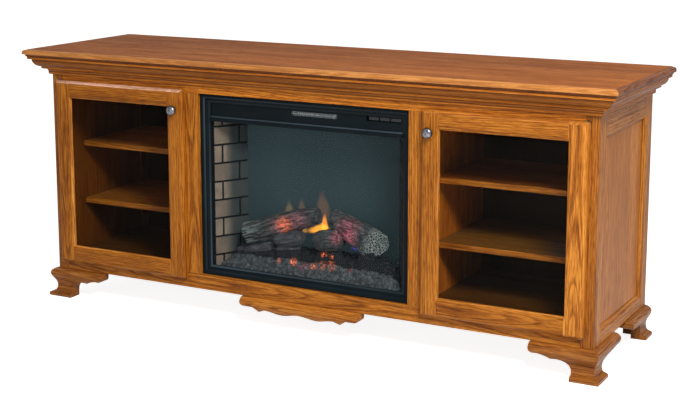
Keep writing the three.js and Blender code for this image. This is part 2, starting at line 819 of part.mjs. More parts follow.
// One door, its nodes named for the side it hangs on. It is shaped as the right-hand door.
function door() {
  const halfWidth = (doorOuter - doorInner) / 2;
  const halfHeight = (doorTop - doorBottom) / 2;
  const middleX = (doorOuter + doorInner) / 2;
  const middleZ = (doorTop + doorBottom) / 2;
  const ring = mitredFrame(doorSection(), halfWidth, halfHeight).translate(middleX, 0, middleZ);
  const y = [doorFront - overrun, doorBack + overrun];
  const stileOuterEdge = doorOuter - doorMemberWidth;
  const stileInnerEdge = doorInner + doorMemberWidth;
  const zAll = [doorBottom - overrun, doorTop + overrun];
  const pinHole = (from, to) => bar(pivotPinDiameter / 2 + seam, 'z', [pivotX, pivotY], from, to, 16);
  const outerStile = cut(
    common(ring, block([stileOuterEdge, doorOuter + overrun], y, zAll)),
    pinHole(doorTop - pivotPinLength, doorTop + overrun),
    pinHole(doorBottom - overrun, doorBottom + pivotPinLength),
  );
  const knobX = doorInner + doorMemberWidth / 2;
  const knobZ = doorTop - knobBelowTop;
  const studHole = bar(
    knobStudDiameter / 2 + seam, 'y', [knobX, knobZ],
    doorFront - overrun, doorFront + knobStudLength + seam, 12,
  );
  const innerStile = cut(common(ring, block([doorInner - overrun, stileInnerEdge], y, zAll)), studHole);
  const railX = [stileInnerEdge + seam, stileOuterEdge - seam];
  const topRail = common(ring, block(railX, y, [middleZ, doorTop + overrun]));
  const bottomRail = common(ring, block(railX, y, [doorBottom - overrun, middleZ]));
  const paneInset = doorMemberWidth - glassRebateWidth + seam;
  const paneFront = doorBack - glassRebateDepth + seam;
  const pane = block(
    [doorInner + paneInset, doorOuter - paneInset],
    [paneFront, paneFront + doorGlassThickness],
    [doorBottom + paneInset, doorTop - paneInset],
  );
  return {
    outer_stile: [outerStile, oak],
    inner_stile: [innerStile, oak],
    top_rail: [topRail, oak],
    bottom_rail: [bottomRail, oak],
    glass: [pane, glass],
    knob: [knob().translate(knobX, doorFront, knobZ), pewter],
  };
}

// Mushroom knob with its stud, standing out along -Y from y = 0.
function knob() {
  const outline = new THREE.Path();
  outline.moveTo(0, -knobProjection);
  outline.bezierCurveTo(
    knobDiameter / 4, -knobProjection, knobDiameter / 2, -knobProjection + knobRim,
    knobDiameter / 2, -knobProjection / 2 - knobRim,
  );
  outline.lineTo(knobDiameter / 2, -knobProjection / 2);
  outline.quadraticCurveTo(knobNeckDiameter / 2, -knobProjection / 2, knobNeckDiameter / 2, -knobNeckHeight);
  outline.quadraticCurveTo(knobNeckDiameter / 2, -knobBaseHeight, knobBaseDiameter / 2, -knobBaseHeight);
  outline.lineTo(knobBaseDiameter / 2, -seam);
  outline.lineTo(knobStudDiameter / 2, -seam);
  outline.lineTo(knobStudDiameter / 2, knobStudLength);
  outline.lineTo(0, knobStudLength);
  return new THREE.LatheGeometry(outline.getPoints(4), 20);
}

function doors() {
  return Object.entries(door()).flatMap(([name, [geometry, material]]) => [
    piece(`right_door_${name}`, geometry, material),
    piece(`left_door_${name}`, mirrored(geometry), material),
  ]);
}

// Pivot hinge bracket: a leaf let into the stile, an ear over the door's edge and the pivot pin.
function pivotBracket(ear, away) {
  const earFar = ear + away * pivotPlateThickness;
  const leafEnd = earFar - away * pivotLeafHeight;
  const low = (a, b) => [Math.min(a, b), Math.max(a, b)];
  const x = [doorOuter - pivotLeafWidth, doorOuter];
  const leaf = block(x, [seam, seam + pivotPlateThickness], low(earFar, leafEnd));
  const plate = block(x, [pivotY - pivotEarReach, seam + pivotPlateThickness], low(ear, earFar));
  const pinEnd = ear - away * (pivotEarGap + pivotPinLength - seam);
  const pin = bar(pivotPinDiameter / 2, 'z', [pivotX, pivotY], ...low(pinEnd, earFar), 16);
  return joined(leaf, plate, pin);
}

function hinges() {
  return [
    ...pair('upper_pivot', pivotBracket(upperEar, 1), hingeSteel),
    ...pair('lower_pivot', pivotBracket(lowerEar, -1), hingeSteel),
  ];
}

// Stepped black frame round the fire.
function trimFrame() {
  const face = trimFaceInset;
  const section = [
    [0, face], [trimRim, face], [trimRim, face + trimStepDepth / 2],
    [trimRim + trimStepWidth, face + trimStepDepth], [trimRim + trimStepWidth, face + trimStepDepth * 1.5],
    [trimRim + trimStepWidth * 2, face + trimStepDepth * 2], [trimWidth, trimBack - trimInnerEdge],
    [trimWidth, trimBack], [0, trimBack],
  ].map(([inward, y]) => new THREE.Vector2(inward, y));
  const halfWidth = halfFireOpening - insertGap;
  const halfHeight = (openingTop - openingBottom) / 2 - insertGap;
  const ring = mitredFrame(section, halfWidth, halfHeight);
  return piece('trim_frame', ring, blackSteel, [0, 0, openingMiddle]);
}

// Bearing plates with a hole for a shaft along X.
function bearing(x0, y, z, foot) {
  const x1 = x0 + bearingThickness;
  const plate = block([x0, x1], around(y, bearingWidth), [foot, z + bearingWidth / 2]);
  return cut(plate, bar(axleRadius + axleClearance, 'x', [y, z], x0 - overrun, x1 + overrun, 16));
}

const blowerHalf = blowerLength / 2;
const rodHalf = housingInner - rodEndSpace;

// Sheet housing: firebox space below, blower space above, open at the front, with the bearings
// of both shafts and the cable gland on the back.
function housing() {
  const shell = block([-halfHousing, halfHousing], [insertFront, housingBack], [housingBottom, housingTop]);
  const inside = (back, z) => block([-housingInner, housingInner], [insertFront - overrun, back], z);
  const back = housingBack - housingWall;
  const floorTop = housingBottom + housingWall;
  const ceilingTop = fireboxCeiling + housingWall;
  const roof = housingTop - housingWall;
  const open = cut(
    shell, inside(back, [floorTop, fireboxCeiling]), inside(back, [ceilingTop, roof]),
    inside(hoodBack + seam, [floorTop, roof]),
  );
  const half = seam / 2;
  const bearingsRound = (middle, halfLength) => [
    middle - halfLength - seam - bearingThickness, middle + halfLength + seam,
  ];
  const gland = bar(
    glandRadius, 'y', [housingInner - glandFromSide, floorTop + glandAboveFloor],
    housingBack - half, housingBack + glandLength, 16,
  );
  return piece('housing', joined(
    open,
    ...bearingsRound(meshSlotMiddle, blowerHalf)
      .map((x) => bearing(x, blowerY, blowerAxisHeight, ceilingTop - half)),
    ...bearingsRound(0, rodHalf).map((x) => bearing(x, rodY, rodAxisHeight, floorTop - half)),
    gland,
  ), blackSteel);
}

// Hood across the top of the fire: plate, rounded lip, cover plate, mesh slot and control pocket.
function hood() {
  const half = housingInner - seam;
  const front = insertFront + seam;
  const plate = block([-half, half], [front, hoodBack], [hoodLipTop, housingTop - housingWall - seam]);
  const lipFront = insertFront - hoodLipReach;
  const lipBottom = hoodLipTop - hoodLipHeight;
  const lip = new THREE.Path();
  lip.moveTo(insertFront, lipBottom);
  lip.lineTo(lipFront + hoodLipRound, lipBottom);
  lip.quadraticCurveTo(lipFront, lipBottom, lipFront, lipBottom + hoodLipRound);
  lip.lineTo(lipFront, hoodLipTop - hoodLipRound);
  lip.quadraticCurveTo(lipFront, hoodLipTop, lipFront + hoodLipRound, hoodLipTop);
  lip.lineTo(hoodBack, hoodLipTop + hoodLipRound);
  lip.lineTo(hoodBack, hoodLipTop);
  lip.lineTo(insertFront, hoodLipTop);
  const lipHalf = halfFireOpening - insertGap - trimWidth - seam;
  const section = lip.getPoints(4);
  const lipEnds = [-lipHalf, lipHalf].map((x) => section.map((p) => new THREE.Vector3(x, p.x, p.y)));
  const lipBar = skin(lipEnds, section);
  const cover = block(
    [coverPlateLeft, coverPlateLeft + coverPlateWidth], [front - coverPlateRise, hoodBack],
    [hoodLipTop + coverPlateAboveLip, hoodLipTop + coverPlateAboveLip + coverPlateHeight],
  );
  const pocketX = around(controlMiddle, controlWidth);
  const pocketBack = front + controlDepth;
  const pocketZ = [controlBottom, controlBottom + controlHeight];
  const widened = ([low, high]) => [low - controlWall, high + controlWall];
  const tray = block(widened(pocketX), [front, pocketBack + controlWall], widened(pocketZ));
  const pocket = block(pocketX, [front - overrun, pocketBack], pocketZ);
  const slot = block(
    around(meshSlotMiddle, meshSlotWidth),
    [front - overrun, hoodBack + overrun],
    [meshSlotBottom, meshSlotBottom + meshSlotHeight],
  );
  const stemHoles = buttonPlaces().map(([x, z]) => bar(
    buttonStemDiameter / 2 + seam, 'y', [x, z],
    pocketBack - controlWall, pocketBack + controlWall + overrun, 12,
  ));
  return piece('hood', cut(joined(plate, lipBar, cover, tray), pocket, slot, ...stemHoles), blackSteel);
}

const buttonWidth = (controlWidth - 4 * buttonGap) / 3;
const buttonHeight = controlHeight - 2 * buttonClearance;

function buttonPlaces() {
  const z = controlBottom + controlHeight / 2;
  return [-1, 0, 1].map((step) => [controlMiddle + step * (buttonWidth + buttonGap), z]);
}

// Three push buttons in the hood's pocket, each with a stem through its back wall.
function buttons() {
  const names = ['power_button', 'flame_button', 'heat_button'];
  const back = insertFront + seam + controlDepth - buttonTravelGap;
  return buttonPlaces().map(([x, z], i) => {
    const cap = block(
      around(x, buttonWidth), [back - buttonDepth, back], around(z, buttonHeight),
    );
    const stemFront = back - buttonDepth / 2;
    const stem = bar(buttonStemDiameter / 2, 'y', [x, z], stemFront, back + buttonStemLength, 12);
    return piece(names[i], joined(cap, stem), greyPlastic);
  });
}

// Expanded-metal strip behind the hood's slot, its diamonds cut in rows.
function meshGrille() {
  const halfWidth = meshSlotWidth / 2 + meshBorder;
  const halfHeight = meshSlotHeight / 2 + meshBorder;
  const shape = new THREE.Shape([
    [-halfWidth, -halfHeight], [halfWidth, -halfHeight], [halfWidth, halfHeight], [-halfWidth, halfHeight],
  ].map(([x, z]) => new THREE.Vector2(x, z)));
  const pitchX = meshSlotWidth / meshDiamondsAlong;
  const pitchZ = meshSlotHeight / meshDiamondRows;
  const halfX = (pitchX - meshStrand) / 2;
  const halfZ = (pitchZ - meshStrand) / 2;
  for (let row = 0; row < meshDiamondRows; row += 1) {
    for (let i = 0; i < meshDiamondsAlong; i += 1) {
      const x = (i + 0.5) * pitchX - meshSlotWidth / 2;
      const z = (row + 0.5) * pitchZ - meshSlotHeight / 2;
      shape.holes.push(new THREE.Path([
        [x - halfX, z], [x, z + halfZ], [x + halfX, z], [x, z - halfZ],
      ].map(([px, pz]) => new THREE.Vector2(px, pz))));
    }
  }
  const geometry = new THREE.ExtrudeGeometry(shape, { depth: meshThickness, bevelEnabled: false });
  geometry.rotateX(Math.PI / 2).translate(0, meshThickness, 0);
  return piece('mesh_grille', geometry, meshSteel, [
    meshSlotMiddle, hoodBack + seam, meshSlotBottom + meshSlotHeight / 2,
  ]);
}

function fireGlass() {
  const half = housingInner - seam;
  const front = insertFront + seam;
  const pane = block([-half, half], [front, glassBack], [fireboxFloor, hoodLipTop - seam]);
  return piece('fire_glass', pane, glass);
}

// Splayed side lining of moulded brick in running bond.
function brickLinings() {
  const run = new THREE.Vector2(fireboxBackHalf - fireboxFrontHalf, fireboxDepth);
  const length = run.length();
  const turn = run.angle();
  const thickX = (liningThickness * length) / fireboxDepth;
  const top = fireboxCeiling - seam;
  const wall = slabXY([
    new THREE.Vector2(fireboxFrontHalf, fireboxFront),
    new THREE.Vector2(fireboxFrontHalf + thickX, fireboxFront),
    new THREE.Vector2(fireboxBackHalf + thickX, fireboxBack),
    new THREE.Vector2(fireboxBackHalf, fireboxBack),
  ], fireboxFloor, top);
  const course = brickHeight + mortar;
  const pitch = brickLength + mortar;
  const courses = Math.ceil((top - fireboxFloor) / course);
  let bricks = null;
  for (let row = 0; row < courses; row += 1) {
    const joint = firstJointFromFront + (row % 2 === 0 ? 0 : pitch / 2) - pitch;
    const z0 = fireboxFloor + row * course;
    for (let start = joint + mortar / 2; start < length; start += pitch) {
      const face = block(
        [start, start + brickLength],
        [0, brickRelief + liningThickness / 2],
        [z0, Math.min(z0 + brickHeight, top)],
      );
      bricks = bricks ? bricks.add(solid(face)) : solid(face);
    }
  }
  const relief = geometryOf(bricks).translate(0, -liningThickness / 2, 0)
    .rotateZ(turn).translate(fireboxFrontHalf, fireboxFront, 0);
  const space = block([0, halfHousing], [fireboxFront, fireboxBack], [fireboxFloor, top]);
  return pair('brick_lining', joined(wall, common(relief, space)), brick);
}

function flameScreen() {
  const half = housingInner - seam;
  const z = [fireboxFloor, fireboxCeiling - seam];
  return piece('flame_screen', block([-half, half], [screenFront, screenBack], z), smokeScreen);
}

// Where each log's ends lie, as shares of the firebox's half width there, depth and height, and how
// thick they are, as shares of the common log radius. A turned end shows its sawn face to the front,
// and a heap of coals stands under the stretch between the heap shares of the length.
const logShares = {
  left_log: {
    fromShares: [-0.805, 0.52, 0.249], toShares: [0.04, 0.6, 0.414], radiusShares: [1.16, 0.84],
    heapShares: [0.1, 0.3],
    bellyShare: 0.24, roundShare: 0, turnShare: 0, grooveCount: 9, twistAngle: 1.3,
  },
  centre_log: {
    fromShares: [0.025, 0.42, 0.259], toShares: [0.36, 0.42, 0.293], radiusShares: [1.1, 1.14],
    heapShares: [0.2, 0.8],
    bellyShare: 0, roundShare: 1, turnShare: 0, grooveCount: 7, twistAngle: 0.4,
  },
  right_log: {
    fromShares: [0.2, 0.66, 0.411], toShares: [0.69, 0.48, 0.285], radiusShares: [0.9, 1.46],
    heapShares: [0.78, 0.92],
    bellyShare: 0.08, roundShare: 0, turnShare: 0.7, grooveCount: 11, twistAngle: 2.1,
  },
  small_log: {
    fromShares: [-0.45, 0.42, 0.24], toShares: [-0.105, 0.43, 0.274], radiusShares: [0.84, 1.02],
    heapShares: [0.2, 0.8],
    bellyShare: 0, roundShare: 1, turnShare: 0, grooveCount: 8, twistAngle: 3,
  },
};
const looseLogs = ['left_log', 'centre_log', 'right_log'];

// A point in the firebox from its shares.
function place([across, inward, up]) {
  const half = THREE.MathUtils.lerp(fireboxFrontHalf, fireboxBackHalf, inward);
  return new THREE.Vector3(
    across * half,
    fireboxFront + inward * fireboxDepth,
    THREE.MathUtils.lerp(fireboxFloor, fireboxCeiling, up),
  );
}

// Radius of a log at a share of its length, larger at a belly and smaller towards rounded ends.
function radiusAt({ radiusShares, bellyShare, roundShare }, share) {
  const belly = 1 + bellyShare * Math.sin(Math.PI * share);
  const ease = 1 - roundShare * 0.5 * Math.abs(2 * share - 1) ** 5;
  return logRadius * THREE.MathUtils.lerp(radiusShares[0], radiusShares[1], share) * belly * ease;
}

// A log from end to end: rings round its line, with bark grooves that only cut inwards. With a
// swell it is the hollow that the log lies in.
function log(shape, swell = 0) {
  const start = place(shape.fromShares);
  const finish = place(shape.toShares);
  const along = finish.clone().sub(start).normalize();
  const down = new THREE.Vector3(0, 1, 0).cross(along).normalize();
  const back = along.clone().cross(down);
  const ringCount = 10;
  const sides = 18;
  const rings = [];
  const flat = [];
  for (let i = 0; i <= ringCount; i += 1) {
    const share = i / ringCount;
    const centre = start.clone().lerp(finish, share);
    const nominal = radiusAt(shape, share);
    const turn = shape.turnShare * Math.max(0, 2 * share - 1);
    const ring = [];
    for (let j = 0; j < sides; j += 1) {
      const angle = (2 * Math.PI * j) / sides;
      const groove = Math.abs(Math.sin((shape.grooveCount * angle) / 2 + shape.twistAngle * share));
      const knot = (1 + Math.sin(5 * share * Math.PI + angle + shape.twistAngle)) / 2;
      const bark = barkShare * (groove + knot);
      const radius = nominal * (1 - bark) + swell;
      ring.push(centre.clone()
        .addScaledVector(down, radius * Math.cos(angle))
        .addScaledVector(back, radius * Math.sin(angle))
        .addScaledVector(along, turn * radius * Math.sin(angle) + (2 * share - 1) * swell));
      if (i === 0) flat.push(new THREE.Vector2(Math.cos(angle), Math.sin(angle)));
    }
    rings.push(ring);
  }
  return skin(rings, flat);
}

function logs() {
  const shapes = Object.fromEntries(looseLogs.map((name) => [name, log(logShares[name])]));
  shapes.right_log = cut(shapes.right_log, log(logShares.centre_log, seam));
  return looseLogs.map((name) => piece(name, shapes[name], charredResin));
}

// How high the heap of coals under a log stands at a place, as the height of its seat there.
function heapHeight(shape, x, y) {
  const start = place(shape.fromShares);
  const finish = place(shape.toShares);
  const runX = finish.x - start.x;
  const runY = finish.y - start.y;
  const share = ((x - start.x) * runX + (y - start.y) * runY) / (runX ** 2 + runY ** 2);
  const held = THREE.MathUtils.clamp(share, ...shape.heapShares);
  const radius = radiusAt(shape, held);
  const aside = Math.hypot(x - start.x - held * runX, y - start.y - held * runY);
  const seat = THREE.MathUtils.lerp(start.z, finish.z, held) - seatDepthShare * radius;
  const seatHalf = seatWidthShare * radius;
  const fall = THREE.MathUtils.smoothstep(aside, seatHalf, seatHalf + heapWall);
  return (seat - fireboxFloor) * (1 - fall);
}

// Height of the fire bed above the firebox floor, before the logs are let into it: a slope of coals
// up to a crest, a ledge behind it and heaps under the logs.
function bedHeight(x, share) {
  const y = fireboxFront + share * fireboxDepth;
  const half = THREE.MathUtils.lerp(fireboxFrontHalf, fireboxBackHalf, share);
  const climb = Math.sin((Math.min(share / crestShare, 1) * Math.PI) / 2);
  const slope = THREE.MathUtils.lerp(bedFrontHeight, bedCrestHeight, climb);
  const climbBack = THREE.MathUtils.smoothstep(share, ledgeStartShare, ledgeShare);
  const step = (ledgeHeight - bedCrestHeight) * climbBack;
  const side = bedSideFall * (1 - THREE.MathUtils.smoothstep(half - Math.abs(x), 0, bedSideWidth));
  const along = x / coalSize;
  const large = Math.sin(along + 4 * share) * Math.sin(23 * share + along / 3);
  const small = Math.sin(2.3 * along + 31 * share) / 2;
  const coals = share > 0 ? coalHeight * (large + small) : 0;
  const open = Math.max(slope + step - side * climb, bedFrontHeight);
  return coals + Math.max(open, ...Object.values(logShares).map((shape) => heapHeight(shape, x, y)));
}

// Fire bed: a rough slope of embers with heaps under the logs, and the small log moulded into it.
function emberBed() {
  const columns = 54;
  const rows = 16;
  const inset = bedSideGap;
  const rings = [];
  const cap = [];
  for (let i = 0; i <= columns; i += 1) {
    const across = 2 * (i / columns) - 1;
    const ring = [];
    for (let j = 0; j <= rows; j += 1) {
      const share = j / rows;
      const half = THREE.MathUtils.lerp(fireboxFrontHalf, fireboxBackHalf, share) - inset;
      const x = across * half;
      const y = fireboxFront + share * (fireboxDepth - seam);
      ring.push(new THREE.Vector3(x, y, fireboxFloor + bedHeight(x, share)));
    }
    const front = ring[0];
    const back = ring[rows];
    ring.push(new THREE.Vector3(back.x, back.y, fireboxFloor));
    ring.push(new THREE.Vector3(front.x, front.y, fireboxFloor));
    rings.push(ring);
    if (i === 0) ring.forEach((point) => cap.push(new THREE.Vector2(point.y, point.z)));
  }
  const bed = skin(rings, cap);
  const hollows = looseLogs.map((name) => log(logShares[name], seam));
  return piece('ember_bed', cut(joined(bed, log(logShares.small_log)), ...hollows), emberResin);
}

// Drum of the blower: end discs, a hub disc at mid-length and curved-in blades between them.
function blowerWheel() {
  const disc = (x, radius) => bar(radius, 'x', [0, 0], ...around(x, blowerDiscThickness), 24);
  const inner = blowerHalf - blowerDiscThickness / 2;
  const blades = Array.from({ length: blowerBlades }, (_, i) => block(
    around(0, blowerLength - blowerDiscThickness),
    around(0, blowerBladeThickness),
    [blowerRadius - blowerBladeDepth, blowerRadius - blowerDiscThickness / 4],
  ).rotateX((2 * Math.PI * i) / blowerBlades));
  const axle = bar(axleRadius, 'x', [0, 0], -blowerHalf - axleLength, blowerHalf + axleLength, 16);
  const wheel = joined(
    disc(-inner, blowerRadius), disc(0, blowerRadius - blowerBladeDepth / 2), disc(inner, blowerRadius),
    axle, ...blades,
  );
  return piece('blower_wheel', wheel, zincSteel, [meshSlotMiddle, blowerY, blowerAxisHeight]);
}

// Flicker rod: a spindle with bright paddles set round it in a spiral.
function flickerRod() {
  const spindle = bar(rodRadius, 'x', [0, 0], -rodHalf, rodHalf, 12);
  const axle = bar(axleRadius, 'x', [0, 0], -rodHalf - axleLength, rodHalf + axleLength, 16);
  const count = Math.floor((2 * rodHalf) / paddlePitch);
  const paddles = Array.from({ length: count }, (_, i) => {
    const x = (i - (count - 1) / 2) * paddlePitch;
    return block(
      around(x, paddleWidth), around(0, paddleThickness), around(0, 2 * paddleReach),
    ).rotateX((i * paddleTurn * Math.PI) / 180);
  });
  return piece('flicker_rod', joined(spindle, axle, ...paddles), zincSteel, [0, rodY, rodAxisHeight]);
}

const stand = new THREE.Group();
stand.add(
  topBoard(), ...crown(), ...faceFrame(), ...caseSides(), ...interior(), ...shelves(), ...feet(), valance(),
  ...doors(), ...hinges(), trimFrame(), housing(), hood(), ...buttons(), meshGrille(), fireGlass(),
  ...brickLinings(), flameScreen(), ...logs(), emberBed(), blowerWheel(), flickerRod(),
);
stand.position.y = (topOverhang - caseDepth) / 2;
stand.updateMatrixWorld(true);

const part = new THREE.Group();
part.add(stand);

export default part;
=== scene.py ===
import json
import math
import random

import bmesh
import bpy
import numpy as np
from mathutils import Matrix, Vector, noise


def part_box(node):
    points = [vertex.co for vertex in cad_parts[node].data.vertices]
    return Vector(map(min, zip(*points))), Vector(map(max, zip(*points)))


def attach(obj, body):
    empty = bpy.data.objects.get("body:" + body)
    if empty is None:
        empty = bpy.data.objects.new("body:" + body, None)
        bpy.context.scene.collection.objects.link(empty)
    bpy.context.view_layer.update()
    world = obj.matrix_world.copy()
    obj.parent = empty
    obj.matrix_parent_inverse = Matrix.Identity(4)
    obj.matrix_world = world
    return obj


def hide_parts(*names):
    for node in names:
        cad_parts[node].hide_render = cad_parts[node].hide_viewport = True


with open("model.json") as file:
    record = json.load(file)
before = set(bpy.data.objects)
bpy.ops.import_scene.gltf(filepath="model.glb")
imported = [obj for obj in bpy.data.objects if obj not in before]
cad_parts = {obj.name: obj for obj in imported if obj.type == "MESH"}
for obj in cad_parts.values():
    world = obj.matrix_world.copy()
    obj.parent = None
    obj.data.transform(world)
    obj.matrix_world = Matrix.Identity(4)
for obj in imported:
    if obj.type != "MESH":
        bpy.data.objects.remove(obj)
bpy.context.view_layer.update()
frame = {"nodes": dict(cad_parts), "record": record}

record = frame["record"]
BODY_OF = {node: body for body, nodes in record["behaviour"]["bodies"].items() for node in nodes}
OPENING = {row["name"]: row["box_m"] for row in record["physics"]["openings"]}

MM = 0.001
SIDES = ("left", "right")
WHITE = (1, 1, 1)
BLACK = (0, 0, 0)

# The photograph's viewpoint: its frame in pixels, and the camera's place in metres.
PHOTO_WIDTH_PX = 700
FOCAL_LENGTH_PX = 1422.4
SENSOR_WIDTH_MM = 36
SHIFT_SHARE = -0.09
CAMERA_PLACE = Vector((1.9443, -3.5664, 1.2569))
CAMERA_YAW_DEG = 27.91
CAMERA_PITCH_DEG = 10.086
CLIP_END = 60

# The sockets of a Mix node that mixes colours.
MIX_FACTOR, MIX_FIRST, MIX_SECOND = 0, 6, 7
MIX_RESULT = 2

SOCKETS = {
    "colour": "Base Color", "roughness": "Roughness", "metallic": "Metallic", "bump": "Normal",
    "specular": "Specular IOR Level", "alpha": "Alpha", "glow": "Emission Color",
    "glow_strength": "Emission Strength",
}


class Paint:
    """A material made of nodes. Each method adds one node and returns its output."""

    def __init__(self, owner):
        """Paints a new material of that name, or a world."""
        self.owner = bpy.data.materials.new(owner) if isinstance(owner, str) else owner
        self.owner.use_nodes = True
        self.tree = self.owner.node_tree
        self.tree.nodes.clear()

    def node(self, kind, inputs=None, **settings):
        """The node itself. An input is another node's output, a number, a vector or a colour."""
        node = self.tree.nodes.new("ShaderNode" + kind)
        for key, value in settings.items():
            setattr(node, key, value)
        for key, value in (inputs or {}).items():
            socket = node.inputs[key]
            if isinstance(value, bpy.types.NodeSocket):
                self.tree.links.new(value, socket)
            elif socket.type == "RGBA":
                socket.default_value = (*value, 1)
            else:
                socket.default_value = value
        return node

    def add(self, kind, inputs=None, output=0, **settings):
        """One output of a new node, by its number or name."""
        return self.node(kind, inputs, **settings).outputs[output]

    def place(self):
        """Where a point of the surface is, in metres."""
        return self.add("TexCoord", output="Object")

    def split(self, vector):
        """The outputs for x, y and z."""
        return dict(zip("xyz", self.node("SeparateXYZ", {0: vector}).outputs))

    def join(self, x, y, z):
        return self.add("CombineXYZ", {0: x, 1: y, 2: z})

    def math(self, operation, *values, clamp=False):
        return self.add("Math", dict(enumerate(values)), operation=operation, use_clamp=clamp)

    def plus(self, first, second, clamp=False):
        return self.math("ADD", first, second, clamp=clamp)

    def minus(self, first, second):
        return self.math("SUBTRACT", first, second)

    def times(self, first, second):
        return self.math("MULTIPLY", first, second)

    def over(self, first, second):
        return self.math("DIVIDE", first, second)

    def scaled(self, vector, scale):
        return self.add("Mapping", {"Vector": vector, "Scale": scale})

    def length(self, vector):
        return self.add("VectorMath", {0: vector}, output="Value", operation="LENGTH")

    def away(self, vector, point):
        """The distance of a point from another."""
        return self.add("VectorMath", {0: vector, 1: point}, output="Value", operation="DISTANCE")

    def noise(self, vector, scale=1.0, detail=2.0, roughness=0.5):
        inputs = {"Vector": vector, "Scale": scale, "Detail": detail, "Roughness": roughness}
        return self.add("TexNoise", inputs)

    def cells(self, vector, scale, feature, output="Distance"):
        return self.add("TexVoronoi", {"Vector": vector, "Scale": scale}, output=output, feature=feature)

    def chance(self, vector):
        """A random number from 0 to 1 for each value of the vector."""
        return self.add("TexWhiteNoise", {"Vector": vector}, output="Value", noise_dimensions="3D")

    def fade(self, value, low, high, first=0.0, last=1.0):
        """A smooth step from first to last while the value goes from low to high."""
        inputs = {"Value": value, "From Min": low, "From Max": high, "To Min": first, "To Max": last}
        return self.add("MapRange", inputs, interpolation_type="SMOOTHSTEP", clamp=True)

    def ramp(self, value, stops):
        """The colour at a value, between stops given as position and colour."""
        node = self.node("ValToRGB", {0: value})
        elements = node.color_ramp.elements
        while len(elements) < len(stops):
            elements.new(1.0)
        for element, (position, colour) in zip(elements, stops):
            element.position = position
            element.color = (*colour, 1)
        return node.outputs[0]

    def mix(self, factor, first, second, blend="MIX"):
        inputs = {MIX_FACTOR: factor, MIX_FIRST: first, MIX_SECOND: second}
        return self.add("Mix", inputs, output=MIX_RESULT, data_type="RGBA", blend_type=blend)

    def bump(self, height, distance, strength):
        return self.add("Bump", {"Height": height, "Distance": distance, "Strength": strength})

    def finish(self, **inputs):
        """The whole material, from the inputs of its surface."""
        sockets = {SOCKETS[key]: value for key, value in inputs.items()}
        return self.shade(self.add("BsdfPrincipled", sockets))

    def shade(self, surface):
        self.node("OutputMaterial", {"Surface": surface})
        return self.owner


def grown(tone, factor):
    """A colour made lighter or darker."""
    return tuple(share * factor for share in tone)


def greys(stops):
    """Stops of grey, from stops given as position and brightness."""
    return [(position, grown(WHITE, brightness)) for position, brightness in stops]


def sum_of(paint, lights):
    """The light of several lights together."""
    total = lights[0]
    for light in lights[1:]:
        total = paint.mix(1.0, total, light, "ADD")
    return total


def by_start(table, node, otherwise):
    """The table's first entry whose key the node's name starts with."""
    return next((entry for start, entry in table.items() if node.startswith(start)), otherwise)


# Oak: its colours, in linear light, and the darkness at which the middle one shows. Rings darken a
# figured board more than a plain one.
OAK_LIGHT = (0.58, 0.208, 0.022)
OAK_MIDDLE = (0.33, 0.097, 0.007)
OAK_DARK = (0.125, 0.030, 0.003)
MIDDLE_AT = 0.42
MEAN_DARKNESS = 0.38
FIGURED_RINGS = 0.58
PLAIN_RINGS = 0.48
ROUGHNESS_SPREAD = 0.14
PORE_DEPTH = 0.12 * MM

# The tree's rings, round a pith behind the board that tilts and sways along it.
RING_WIDTH = 4.6 * MM
RING_GRAIN = (0.7, 1, 1)
RING_UNEVENNESS = 2.4
EARLY_WOOD = [(0, 0.8), (0.2, 1), (0.5, 0.25), (0.85, 0), (1, 0.5)]
PITH_DEPTH = 46 * MM
PITH_TILT = 10 * MM
TILT_LENGTH = 1.3
SWAY = 12 * MM
SIDE_SWAY_SHARE = 0.6
FINE_SWAY = 1.6 * MM

# How often the figure changes in a metre along the board, across it and into it.
SWAY_GRAIN = (1.9, 8, 8)
FINE_SWAY_GRAIN = (5, 45, 45)
PORE_GRAIN = (70, 1300, 1300)
DASH_GRAIN = (26, 400, 400)
STREAK_GRAIN = (6, 190, 190)
CLOUD_GRAIN = (3, 18, 18)

# Where a board is cut from its tree: how far to the side of the pith, in millimetres, how far along in
# metres, and what glued boards differ by.
FIGURED_SHIFT = 6
PLAIN_SHIFTS = (35, 75)
STARTS_ALONG = (2, 9)
BOARD_STEP_ALONG = 3.0
BOARD_STEP_ACROSS = 40 * MM
BOARD_SEED = 0.37
BOARD_TINTS = ((0.84, 0.80, 0.78), (1.10, 1.08, 1.0))

# How much lighter or darker each piece is than the common oak, by the start of its name: partly its own
# tone and partly painted light and shade. The top rail is painted lighter against the crown's shadow, the
# feet darker as in shade, and the shelves, partitions, bottom deck and back panel lit or in shade as light
# falls into the cupboards.
BOARD_TONES_AND_PAINTED_LIGHT = {
    "top_board": (0.98, 0.88, 1.1),
    "top_rail": (1.3, 1.25, 1.2),
    "crown": (0.88, 0.84, 0.9),
    "side_panel": (1.22, 1.3, 1.6),
    "side_frame": (1.0, 1.05, 1.3),
    "outer_stile_right": (0.84, 0.82, 0.95),
    "outer_stile": (0.92, 0.90, 1.0),
    "left_door": (0.94, 0.92, 0.8),
    "right_door_outer_stile": (1.2, 1.25, 1.6),
    "right_door": (0.94, 0.93, 0.95),
    "valance": (1.1, 1.15, 1.6),
    "front_foot": (0.74, 0.76, 1.4),
    "rear_foot": (0.68, 0.72, 1.4),
    "partition": (1.5, 1.35, 1.1),
    "shelf_lower_left": (0.85, 0.95, 0.9),
    "shelf_lower_right": (0.45, 0.58, 0.8),
    "shelf_upper_left": (1.6, 1.65, 1.2),
    "shelf": (1.0, 0.9, 0.75),
    "bottom_deck": (0.24, 0.28, 0.38),
    "back_panel": (0.06, 0.045, 0.035),
}
# Painted light on the shelves' front edges, where light falls on them.
SHELF_EDGE_LIGHT_TONE = (1.2, 1.2, 1.1)
